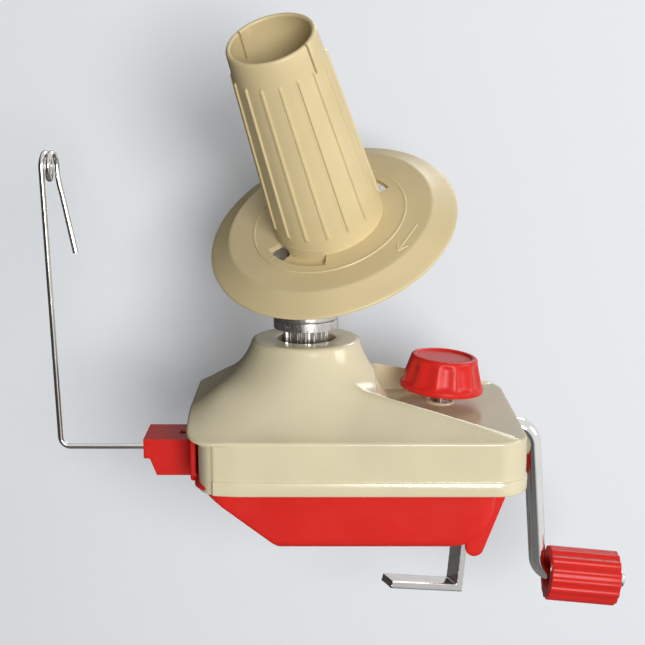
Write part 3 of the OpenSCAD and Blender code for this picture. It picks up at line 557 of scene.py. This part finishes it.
class Nodes:
    """Shorthand for building one material's node tree."""

    def __init__(self, name):
        self.material = bpy.data.materials.new(name)
        self.material.use_nodes = True
        self.tree = self.material.node_tree
        self.shader = self.tree.nodes["Principled BSDF"]
        self.coord = self.add("ShaderNodeTexCoord").outputs["Object"]

    def add(self, kind, **inputs):
        node = self.tree.nodes.new(kind)
        for key, value in inputs.items():
            node.inputs[key.replace("_", " ")].default_value = value
        return node

    def link(self, out, into):
        self.tree.links.new(out, into)

    def noise(self, scale, detail, stretch=(1, 1, 1)):
        mapping = self.add("ShaderNodeMapping", Scale=stretch)
        self.link(self.coord, mapping.inputs["Vector"])
        noise = self.add("ShaderNodeTexNoise", Scale=scale, Detail=detail)
        self.link(mapping.outputs["Vector"], noise.inputs["Vector"])
        return noise.outputs["Fac"]

    def spread(self, value, low, high, start=0.3, stop=0.7):
        """Maps a value from start to stop onto low to high."""
        ranged = self.add("ShaderNodeMapRange")
        ranged.inputs["From Min"].default_value = start
        ranged.inputs["From Max"].default_value = stop
        ranged.inputs["To Min"].default_value = low
        ranged.inputs["To Max"].default_value = high
        self.link(value, ranged.inputs["Value"])
        return ranged.outputs["Result"]

    def blend(self, factor, first, second):
        """Mixes two colours, or a colour link and a colour, by a factor link."""
        mix = self.add("ShaderNodeMix")
        mix.data_type = "RGBA"
        self.link(factor, mix.inputs["Factor"])
        for value, socket in ((first, mix.inputs[6]), (second, mix.inputs[7])):
            if isinstance(value, tuple):
                socket.default_value = (*value, 1)
            else:
                self.link(value, socket)
        return mix.outputs[2]

    def bump(self, height, strength, distance):
        bump = self.add("ShaderNodeBump", Strength=strength, Distance=distance)
        self.link(height, bump.inputs["Height"])
        self.link(bump.outputs["Normal"], self.shader.inputs["Normal"])


def shade(colour, factor):
    return tuple(min(1.0, c * factor) for c in colour)


def plastic(name, colour, rough, gloss=0.5):
    """Moulded plastic: slow colour drift, a painted highlight that makes convex edges paler, fine grain and
    uneven gloss.
    """
    n = Nodes(name)
    drift = n.spread(n.noise(DRIFT_SCALE, 2.0), 0.0, 1.0)
    base = n.blend(drift, shade(colour, 0.95), shade(colour, 1.03))
    # Painted highlight: convex edges, found by pointiness, are lightened towards 1.22 times the base colour.
    edge = n.spread(n.add("ShaderNodeNewGeometry").outputs["Pointiness"], 0.0, 0.35, 0.52, 0.62)
    base = n.blend(edge, base, shade(colour, 1.22))
    n.link(base, n.shader.inputs["Base Color"])
    n.link(n.spread(n.noise(GLOSS_SCALE, 4.0), rough - 0.05, rough + 0.07), n.shader.inputs["Roughness"])
    n.bump(n.noise(GRAIN_SCALE, 2.0), 0.10, 0.00006)
    n.shader.inputs["IOR"].default_value = 1.5
    n.shader.inputs["Specular IOR Level"].default_value = gloss
    return n.material


def metal(name, colour, rough, stretch, stain=0.85):
    """Plated or machined metal: drawn scratches along one way, cloudy gloss and darker stains."""
    n = Nodes(name)
    scratches = n.noise(SCRATCH_SCALE, 2.0, stretch)
    clouds = n.noise(CLOUD_SCALE, 3.0)
    base = n.blend(n.spread(clouds, 0.0, 1.0, 0.35, 0.7), shade(colour, stain), colour)
    n.link(base, n.shader.inputs["Base Color"])
    n.shader.inputs["Metallic"].default_value = 1.0
    n.link(n.spread(scratches, rough * 0.7, rough * 1.4), n.shader.inputs["Roughness"])
    n.bump(scratches, 0.05, 0.00003)
    return n.material


# Pieces


def winding_cone(material):
    """Ribbed cone with two rim slits and two bayonet tabs that reach through the platter."""
    place = ON_TILT @ Matrix.Translation((0, 0, -PLATTER_DROP))
    foot = PLAY / 3
    lip = CONE_WALL / 2

    def radius(h):
        return CONE_FOOT_R + (CONE_TOP_R - CONE_FOOT_R) * h / CONE_LEN

    heights = [foot, 2, 4, 6, RIB_LOW, RIB_LOW + 0.6, RIB_LOW + 1.6]
    heights += [RIB_LOW + 2 + (RIB_HIGH - RIB_LOW - 4) * k / 12 for k in range(1, 13)]
    heights += [RIB_HIGH - 0.8, RIB_HIGH, RIB_HIGH + 2, CONE_LEN - 6, CONE_LEN - lip]
    outer = [(radius(h), h) for h in heights]
    rim = arc(radius(CONE_LEN) - lip, CONE_LEN - lip, lip, 15, 165, 6)
    inner = [(radius(h) - CONE_WALL, h) for h in reversed(heights)]

    # Degrees from each rib's middle at which the wall is drawn, closest across the rib
    half = math.degrees(0.5 / CONE_FOOT_R)
    steps = (-half * 1.5, -half * 0.8, 0, half * 0.8, half * 1.5, 5, 8.5, 12, 15.5, 18.5)
    angles = [math.radians(RIB_SHIFT + 360 / CONE_RIBS * k + s) for k in range(CONE_RIBS) for s in steps]

    def ribbed(r, h, a):
        if r < radius(h) - 0.01 or not RIB_LOW < h < RIB_HIGH:
            return r
        off = (math.degrees(a) - RIB_SHIFT + 180 / CONE_RIBS) % (360 / CONE_RIBS) - 180 / CONE_RIBS
        ends = min(1, (h - RIB_LOW) / 1.6, (RIB_HIGH - h) / 0.8)
        return r + (RIB_H * ends if abs(off) < half else 0)

    bm = bmesh.new()
    add_grid(bm, lathe(outer + rim + inner, angles, place, ribbed), along=True)
    cone = new_object("cone_body", bm)
    slits = bmesh.new()
    for direction in SLIT_DIRS:
        at = place @ turn(math.radians(direction), "Z")
        at = at @ Matrix.Translation((CONE_TOP_R + 1, 0, CONE_LEN - SLIT_H / 2 + 1))
        bmesh.ops.create_cube(slits, size=1, matrix=at @ Matrix.Diagonal((14, SLIT_W, SLIT_H + 2, 1)))
    cut(cone, new_object("slits", slits))

    tabs = bmesh.new()
    tab_in = SLOT_IN + PLAY
    low = -PLATTER_T - PLAY - TAB_T
    for start in SLOT_STARTS:
        first = TAB_MID + start - TAB_ARC / 2
        last = first + TAB_ARC
        add_arc_block(tabs, place, tab_in, CONE_FOOT_R - 0.05, low, foot + 3, first, last)
        add_arc_block(tabs, place, tab_in, SLOT_R - PLAY, low, low + TAB_T, first, last + TOE_ARC)
    tab = new_object("cone_tabs", tabs)
    tab.data.materials.append(material)
    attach(tab, "cone")
    stands_for(cone, "winding_cone", material)


def platter(material):
    """Dished platter with a soft brim, a raised ring, two bayonet slots and a raised arrow."""
    top = -PLATTER_DROP
    under = top - PLATTER_T
    edge = top - BRIM_DROP
    slope = math.degrees(math.atan2(BRIM_DROP - 0.9, PLATTER_R - FLAT_R))
    bend = 3.0
    reach = bend * math.tan(math.radians(slope / 2))
    profile = [(HUB_BORE, top), (12, top), (19, top), (SLOT_IN, top), (SLOT_R, top), (RING_R - 0.55, top)]
    profile += [(RING_R - 0.3, top + 0.36), (RING_R + 0.3, top + 0.36), (RING_R + 0.55, top), (37, top)]
    profile += arc(FLAT_R - reach, top - bend, bend, 90, 90 - slope, 6)
    profile += [(PLATTER_R - 2, edge + 0.9 + 2 * math.tan(math.radians(slope)))]
    profile += arc(PLATTER_R - 0.8, edge + 0.8, 0.8, 90 - slope, -80, 7)
    profile += [(PLATTER_R - 1.4, edge + 0.1), (FLAT_R - 0.8, under + 0.1), (FLAT_R - 1.6, under)]
    profile += [(30, under), (HUB_R + 1.2, under), (HUB_R + 0.3, under - 0.3), (HUB_R, under - 1.2)]
    profile += [(HUB_R, -HUB_LOW + 0.3), (HUB_R - 0.3, -HUB_LOW), (HUB_BORE, -HUB_LOW)]
    bm = bmesh.new()
    add_grid(bm, lathe(profile, even_angles(192), ON_TILT), along=True)
    disc = new_object("platter_disc", bm, 50)
    slots = bmesh.new()
    for start in SLOT_STARTS:
        first = SLOT_MID + start - SLOT_ARC / 2
        add_arc_block(slots, ON_TILT, SLOT_IN, SLOT_R, under - 1, top + 1, first, first + SLOT_ARC, 24, 0.02)
    cut(disc, new_object("slots", slots))
    stands_for(disc, "platter", material)

    arrow = bmesh.new()
    tail = polar(*ARROW_TAIL)
    head = polar(*ARROW_HEAD)
    back = (tail - head).normalized()
    barbs = [head + turn(s * ARROW_SPREAD, "Z") @ back * ARROW_BARB for s in (1, -1)]
    for line in ((tail, head), (head, barbs[0]), (head, barbs[1])):
        add_tube(arrow, [ON_TILT @ p for p in line], [ARROW_R, ARROW_R], 10)
    mark = new_object("platter_arrow", arrow)
    mark.data.materials.append(material)
    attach(mark, "platter")


def polar(r, degrees):
    """A point on the platter's flat, in the tilted frame."""
    a = math.radians(degrees)
    return Vector((r * math.cos(a), r * math.sin(a), -PLATTER_DROP - 0.12))


def clamp_knob(material):
    """Fluted knob with a foot lip, a rounded shoulder and a dished top."""
    place = ON_CLAMP @ Matrix.Translation((0, 0, KNOB_Z))
    lip = 2.2
    flute_low = lip + 0.5
    flute_high = KNOB_H - 1.6
    depth = 0.9
    profile = [(0.02, 8), (BOLT_R + 0.02, 8), (BOLT_R + 0.02, 0), (KNOB_R - 3, 0)]
    profile += arc(KNOB_R - 0.6, 0.6, 0.6, -90, 0, 4) + arc(KNOB_R - 0.5, lip - 0.4, 0.5, 0, 80, 4)
    foot_r = KNOB_R - 0.5
    shoulder_r = KNOB_TOP_R + 0.75
    flank = 14
    profile += [(foot_r + (shoulder_r - foot_r) * k / flank, lip + 0.2 + (flute_high + 0.2 - lip) * k / flank)
                for k in range(flank + 1)]
    profile += arc(KNOB_TOP_R - 0.6, KNOB_H - 1.3, 1.3, 10, 90, 6)
    profile += [(KNOB_TOP_R - 1.3, KNOB_H), (KNOB_TOP_R - 1.7, KNOB_H - 0.2), (KNOB_TOP_R - 2.0, KNOB_H - 0.85)]
    profile += [(KNOB_TOP_R - 2.6, KNOB_H - 1.0), (6, KNOB_H - 1.0), (0.02, KNOB_H - 0.95)]

    def fluted(r, h, a):
        if r < KNOB_TOP_R or not flute_low < h < flute_high:
            return r
        ends = min(1, (h - flute_low) / 1.0, (flute_high - h) / 1.4)
        wave = 0.5 + 0.5 * math.cos(KNOB_FLUTES * a)
        return r - depth * math.sqrt(max(0, ends)) * wave ** 0.75

    bm = bmesh.new()
    add_grid(bm, lathe(profile, even_angles(KNOB_FLUTES * 12), place, fluted), caps=True)
    stands_for(new_object("knob_body", bm, 50), "clamp_knob", material)


def clamp_slot():
    """Block that clears the base's slot for the hook's leg."""
    bm = bmesh.new()
    middle = Matrix.Translation((SLOT_OUT - SLOT_DEEP / 2, 0, -CLAMP_AT[2] / 2))
    span = Matrix.Diagonal((SLOT_DEEP, SLOT_WIDE, CLAMP_AT[2] + 20, 1))
    bmesh.ops.create_cube(bm, size=1, matrix=ON_CLAMP @ turn(HOOK_TURN, "Z") @ middle @ span)
    return new_object("clamp_slot", bm)


def clamp_bolt(material):
    """Screw with its thread drawn as a helical ridge."""
    sides = 28
    per_turn = 8
    rows = int((BOLT_HIGH - BOLT_LOW) * per_turn)
    rings = []
    for k in range(rows + 1):
        h = BOLT_LOW + (BOLT_HIGH - BOLT_LOW) * k / rows
        ring = []
        for a in even_angles(sides):
            phase = (h - a / (2 * math.pi)) % 1
            r = BOLT_R - THREAD_DEPTH * abs(2 * phase - 1)
            ring.append(ON_CLAMP @ Vector((r * math.cos(a), r * math.sin(a), h)))
        rings.append(ring)
    bm = bmesh.new()
    add_grid(bm, rings, caps=True)
    stands_for(new_object("bolt_thread", bm, 80), "clamp_bolt", material)


def arm_points():
    """Centre line of the crank rod: axle, two bends, arm and handle."""
    way = Vector((math.sin(ARM_LEAN), 0, -math.cos(ARM_LEAN)))
    side = Vector((math.cos(ARM_LEAN), 0, math.sin(ARM_LEAN)))
    first = math.pi / 2 - ARM_LEAN
    second = math.pi / 2 - ARM_LEAN - DROOP
    steps = 14
    top = Vector((BEND_X, 0, CRANK_Z))
    bend_one = [top + BEND_R * Vector((math.sin(t), 0, math.cos(t) - 1))
                for t in (first * k / steps for k in range(steps + 1))]
    low = bend_one[-1] + way * ARM_LEN
    bend_two = [low + BEND_R * (math.sin(t) * way + (1 - math.cos(t)) * side)
                for t in (second * k / steps for k in range(steps + 1))]
    return bend_one, bend_two


def crank_rod(material):
    """Bent rod with a turned axle and a peened end."""
    bend_one, bend_two = arm_points()
    handle = Vector((math.cos(DROOP), 0, -math.sin(DROOP)))
    line = [Vector((x, 0, CRANK_Z)) for x in (AXLE_START, AXLE_START + 0.5, STEP_X, STEP_X + 0.3)]
    radii = [AXLE_R - 0.5, AXLE_R, AXLE_R, ROD_R]
    line += bend_one + bend_two
    radii += [ROD_R] * (len(bend_one) + len(bend_two))
    dome = 5
    for k in range(dome + 1):
        t = math.pi / 2 * k / dome
        line.append(bend_two[-1] + handle * (HANDLE_LEN - PEEN_LEN + PEEN_LEN * math.sin(t)))
        radii.append(max(0.3, ROD_R * math.cos(t) ** 0.6))
    bm = bmesh.new()
    add_tube(bm, line, radii, 32)
    stands_for(new_object("crank_rod_bent", bm), "crank_rod", material)


def grip(material):
    """Lobed grip with rounded lobe ends and a recess round the rod."""
    start = arm_points()[1][-1]
    on_handle = Matrix.Translation(start) @ turn(DROOP, "Y")
    place = on_handle @ Matrix.Translation((GRIP_START, 0, 0)) @ turn(math.pi / 2, "Y")
    lobe = math.pi * GRIP_R / GRIP_LOBES * 0.82
    centre = GRIP_R - lobe
    base = GRIP_R - GRIP_GROOVE
    bore = ROD_R + RUN_GAP
    socket = ROD_R + 3.2
    ease = 0.6
    profile = [(bore, GRIP_SOCKET), (socket, GRIP_SOCKET), (socket, 0.4), (socket + 0.4, 0), (base - 1.8, 0)]
    profile += [(GRIP_R - ease + r, h) for r, h in arc(0, ease, ease, -80, 0, 5)]
    profile += [(GRIP_R, GRIP_LEN * k / 6) for k in range(1, 6)]
    profile += [(GRIP_R - ease + r, h) for r, h in arc(0, GRIP_LEN - ease, ease, 0, 80, 5)]
    profile += [(base - 1.8, GRIP_LEN), (bore, GRIP_LEN)]

    def lobed(r, h, a):
        if r < base - 1.5:
            return r
        step = 2 * math.pi / GRIP_LOBES
        off = (a + step / 2) % step - step / 2
        across = centre * math.sin(off)
        shape = base if abs(across) >= lobe else centre * math.cos(off) + math.sqrt(lobe ** 2 - across ** 2)
        return max(shape, base) - (GRIP_R - r)

    bm = bmesh.new()
    add_grid(bm, lathe(profile, even_angles(GRIP_LOBES * 12), place, lobed), along=True)
    stands_for(new_object("grip_body", bm, 45), "grip", material)


def guide_wire(material):
    """Sprung wire: foot, stem, an eye of one and a half turns and a slanting tail."""
    foot = [Vector((WIRE_END, 0, WIRE_Z)), Vector((WIRE_MID, 0, WIRE_Z))]
    bend = [Vector((-WIRE_X + WIRE_BEND * (1 - math.sin(t)), 0, WIRE_Z + WIRE_BEND * (1 - math.cos(t))))
            for t in (math.pi / 2 * k / 10 for k in range(11))]
    low = WIRE_Z + WIRE_BEND
    stem = [Vector((-WIRE_X - STEM_LEAN * k / 8, 0, low + (EYE_Z - low) * k / 8)) for k in range(1, 8)]
    eye_x = -WIRE_X - STEM_LEAN
    eye = [Vector((eye_x + EYE_PITCH * a / 360, EYE_R - EYE_R * math.cos(math.radians(a)),
                   EYE_Z + EYE_R * math.sin(math.radians(a)))) for a in range(0, 541, 10)]
    end = eye[-1]
    quarters = [k / 4 for k in range(1, 5)]
    tail = [end + Vector((TAIL_BEND.x * q * q, TAIL_BEND.y * q, TAIL_BEND.z * q)) for q in quarters]
    tail += [end + TAIL_BEND + TAIL_RUN * q for q in quarters]
    line = foot + bend + stem + eye + tail
    bm = bmesh.new()
    add_tube(bm, line, [WIRE_R] * len(line), 18)
    stands_for(new_object("guide_wire_bent", bm, 60), "guide_wire", material)


def finish_node(node, material):
    """Gives a CAD node its material and slightly broken edges."""
    obj = frame["nodes"][node]
    obj.data.materials.clear()
    obj.data.materials.append(material)
    weld = obj.modifiers.new("weld", "WELD")
    weld.merge_threshold = 1e-6
    bevel = obj.modifiers.new("bevel", "BEVEL")
    bevel.width = EASE * MM
    bevel.segments = 2
    bevel.limit_method = "ANGLE"
    bevel.angle_limit = math.radians(40)
    bevel.use_clamp_overlap = True
    obj.modifiers.new("normals", "WEIGHTED_NORMAL")


# Stage


def add_lamp(name, at, size, watts):
    """A round soft lamp that points at the part."""
    data = bpy.data.lights.new(name, "AREA")
    data.shape = "DISK"
    data.size = size
    data.energy = watts
    light = bpy.data.objects.new(name, data)
    light.location = at
    light.rotation_euler = (Vector(LAMP_AIM) - Vector(at)).to_track_quat("-Z", "Y").to_euler()
    bpy.context.scene.collection.objects.link(light)


def side_ramp(tree, way, low, high):
    """A factor from 0 to 1 that grows along a direction, for a world shader."""
    coord = tree.nodes.new("ShaderNodeTexCoord")
    along = tree.nodes.new("ShaderNodeVectorMath")
    along.operation = "DOT_PRODUCT"
    along.inputs[1].default_value = way
    tree.links.new(coord.outputs["Generated"], along.inputs[0])
    ramp = tree.nodes.new("ShaderNodeMapRange")
    ramp.interpolation_type = "SMOOTHSTEP"
    ramp.inputs["From Min"].default_value = low
    ramp.inputs["From Max"].default_value = high
    tree.links.new(along.outputs["Value"], ramp.inputs["Value"])
    return ramp.outputs["Result"]


def ramped_background(tree, way, low, high, first, second):
    """A background that goes from one colour to another along a direction."""
    mix = tree.nodes.new("ShaderNodeMix")
    mix.data_type = "RGBA"
    tree.links.new(side_ramp(tree, way, low, high), mix.inputs["Factor"])
    mix.inputs[6].default_value = (*first, 1)
    mix.inputs[7].default_value = (*second, 1)
    background = tree.nodes.new("ShaderNodeBackground")
    tree.links.new(mix.outputs[2], background.inputs["Color"])
    return background


def choose(tree, flag, otherwise, shown):
    """Takes the shown shader where the flag is set, and the other one elsewhere."""
    mix = tree.nodes.new("ShaderNodeMixShader")
    tree.links.new(flag, mix.inputs["Fac"])
    tree.links.new(otherwise.outputs[0], mix.inputs[1])
    tree.links.new(shown.outputs[0], mix.inputs[2])
    return mix


def add_world():
    """Pale surroundings for the camera, a studio with a dark side for mirrors, and a soft fill for the rest."""
    world = bpy.data.worlds.new("studio")
    bpy.context.scene.world = world
    world.use_nodes = True
    tree = world.node_tree
    seen = ramped_background(tree, (1, 0, 0), -0.42, 0.42,
                             (0.63, 0.655, 0.68), (0.875, 0.90, 0.92))
    mirrored = ramped_background(tree, (0.75, -0.05, 0.66), -0.12, 0.34,
                                 (0.06, 0.06, 0.06), (0.86, 0.86, 0.86))
    lit = ramped_background(tree, (0.52, -0.80, -0.28), -0.9, 0.9,
                            (0.02, 0.02, 0.022), (0.27, 0.27, 0.268))
    path = tree.nodes.new("ShaderNodeLightPath")
    rest = choose(tree, path.outputs["Is Glossy Ray"], lit, mirrored)
    shown = choose(tree, path.outputs["Is Camera Ray"], rest, seen)
    tree.links.new(shown.outputs[0], tree.nodes["World Output"].inputs["Surface"])


def add_sheet(name, at, lean, pale, fade_from, fade_to, keep):
    """A pale round sheet that takes the part's shadow and fades out. Returns its nodes and how clear it is."""
    bm = bmesh.new()
    bmesh.ops.create_circle(bm, cap_ends=True, segments=96, radius=fade_to * 1.5)
    bm.normal_update()
    bmesh.ops.reverse_faces(bm, faces=[f for f in bm.faces if f.normal.z < 0])
    bmesh.ops.transform(bm, matrix=turn(lean, "X"), verts=bm.verts)
    mesh = bpy.data.meshes.new(name)
    bm.to_mesh(mesh)
    bm.free()
    sheet = bpy.data.objects.new(name, mesh)
    sheet.location = at
    bpy.context.scene.collection.objects.link(sheet)
    n = Nodes(name)
    n.shader.inputs["Base Color"].default_value = (*pale, 1)
    n.shader.inputs["Roughness"].default_value = 0.9
    n.shader.inputs["Specular IOR Level"].default_value = 0.1
    length = n.add("ShaderNodeVectorMath")
    length.operation = "LENGTH"
    n.link(n.coord, length.inputs[0])
    clear = n.spread(length.outputs["Value"], 1 - keep, 1.0, fade_from, fade_to)
    mesh.materials.append(n.material)
    return n, clear


def show_sheet(n, clear):
    """Mixes a sheet's surface with see-through by how clear it is."""
    through = n.add("ShaderNodeBsdfTransparent")
    mix = n.add("ShaderNodeMixShader")
    n.link(clear, mix.inputs["Fac"])
    n.link(n.shader.outputs[0], mix.inputs[1])
    n.link(through.outputs[0], mix.inputs[2])
    n.link(mix.outputs[0], n.tree.nodes["Material Output"].inputs["Surface"])


def greater(n, first, second):
    """The greater of two values."""
    both = n.add("ShaderNodeMath")
    both.operation = "MAXIMUM"
    n.link(first, both.inputs[0])
    n.link(second, both.inputs[1])
    return both.outputs[0]


def add_floor(level, pale):
    """A floor below the part, which is clear from below."""
    n, clear = add_sheet("floor", (0, 0, level), 0.0, pale, 0.05, 0.54, 0.45)
    below = n.add("ShaderNodeNewGeometry").outputs["Backfacing"]
    show_sheet(n, greater(n, clear, below))


def add_backdrop(pale):
    """A standing sheet behind the part, for the camera alone, and clear from behind."""
    n, clear = add_sheet("backdrop", (0, BACKDROP_Y, BACKDROP_Z), math.pi / 2, pale, 0.26, 0.60, 1.0)
    hidden = n.spread(n.add("ShaderNodeLightPath").outputs["Is Camera Ray"], 1.0, 0.0, 0.0, 1.0)
    behind = n.add("ShaderNodeNewGeometry").outputs["Backfacing"]
    show_sheet(n, greater(n, clear, greater(n, hidden, behind)))


add_camera()
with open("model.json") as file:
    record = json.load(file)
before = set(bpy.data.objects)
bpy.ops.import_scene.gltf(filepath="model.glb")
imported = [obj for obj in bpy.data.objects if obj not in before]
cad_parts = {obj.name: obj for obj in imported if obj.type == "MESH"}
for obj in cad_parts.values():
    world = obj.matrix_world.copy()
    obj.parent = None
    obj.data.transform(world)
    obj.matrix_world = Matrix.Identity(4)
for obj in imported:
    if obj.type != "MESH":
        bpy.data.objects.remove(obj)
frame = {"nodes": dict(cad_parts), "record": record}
cad_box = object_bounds()
bpy.context.scene.view_settings.view_transform = "Standard"

RED = plastic("red_moulded", (0.70, 0.021, 0.015), 0.30, 0.24)
CREAM = plastic("cream_moulded", (0.735, 0.655, 0.44), 0.16, 0.50)
BEIGE = plastic("beige_moulded", (0.74, 0.605, 0.335), 0.38, 0.55)
NYLON = plastic("white_nylon", (0.80, 0.79, 0.74), 0.45)
CHROME = metal("chrome_plate", (0.84, 0.84, 0.82), 0.06, (1, 1, 0.04), 0.93)
WIRE = metal("drawn_wire", (0.74, 0.72, 0.68), 0.14, (1, 1, 0.04), 0.9)
ZINC = metal("zinc_plate", (0.72, 0.70, 0.68), 0.17, (0.05, 1, 1), 0.92)
STEEL = metal("machined_steel", (0.62, 0.60, 0.57), 0.30, (1, 1, 0.1))
BRASS = metal("turned_brass", (0.72, 0.52, 0.22), 0.28, (1, 1, 0.1))
BY_SLOT = {"red_plastic": RED, "cream_plastic": CREAM, "beige_plastic": BEIGE, "white_nylon": NYLON,
           "chrome_rod": CHROME, "plated_steel": ZINC, "plain_steel": STEEL, "brass": BRASS}

top_cover(CREAM)
moulded("base_pan", RED, 0.55, 8, clamp_slot())
moulded("guide_holder", RED, 0.35, 8)
moulded("clamp_hook", ZINC, 0.3, 8)
moulded("tilt_arm", STEEL, 0.3, 6)
winding_cone(BEIGE)
platter(BEIGE)
clamp_knob(RED)
clamp_bolt(STEEL)
crank_rod(CHROME)
grip(RED)
guide_wire(WIRE)

REMADE = {"top_cover", "base_pan", "guide_holder", "clamp_hook", "tilt_arm", "winding_cone", "platter",
          "clamp_knob", "clamp_bolt", "crank_rod", "grip", "guide_wire"}
for name in frame["nodes"]:
    if name not in REMADE:
        finish_node(name, BY_SLOT[slot_of(name)])

add_floor(cad_box[0][2] - FLOOR_DROP, (0.82, 0.84, 0.855))
add_backdrop((0.84, 0.87, 0.90))
add_world()
add_lamp("key", (0.38, -1.44, 0.26), 0.7, 16.5)
add_lamp("side", (1.30, -0.35, 0.45), 0.6, 4.5)
add_lamp("rim", (0.45, 0.75, 0.75), 0.5, 3.0)
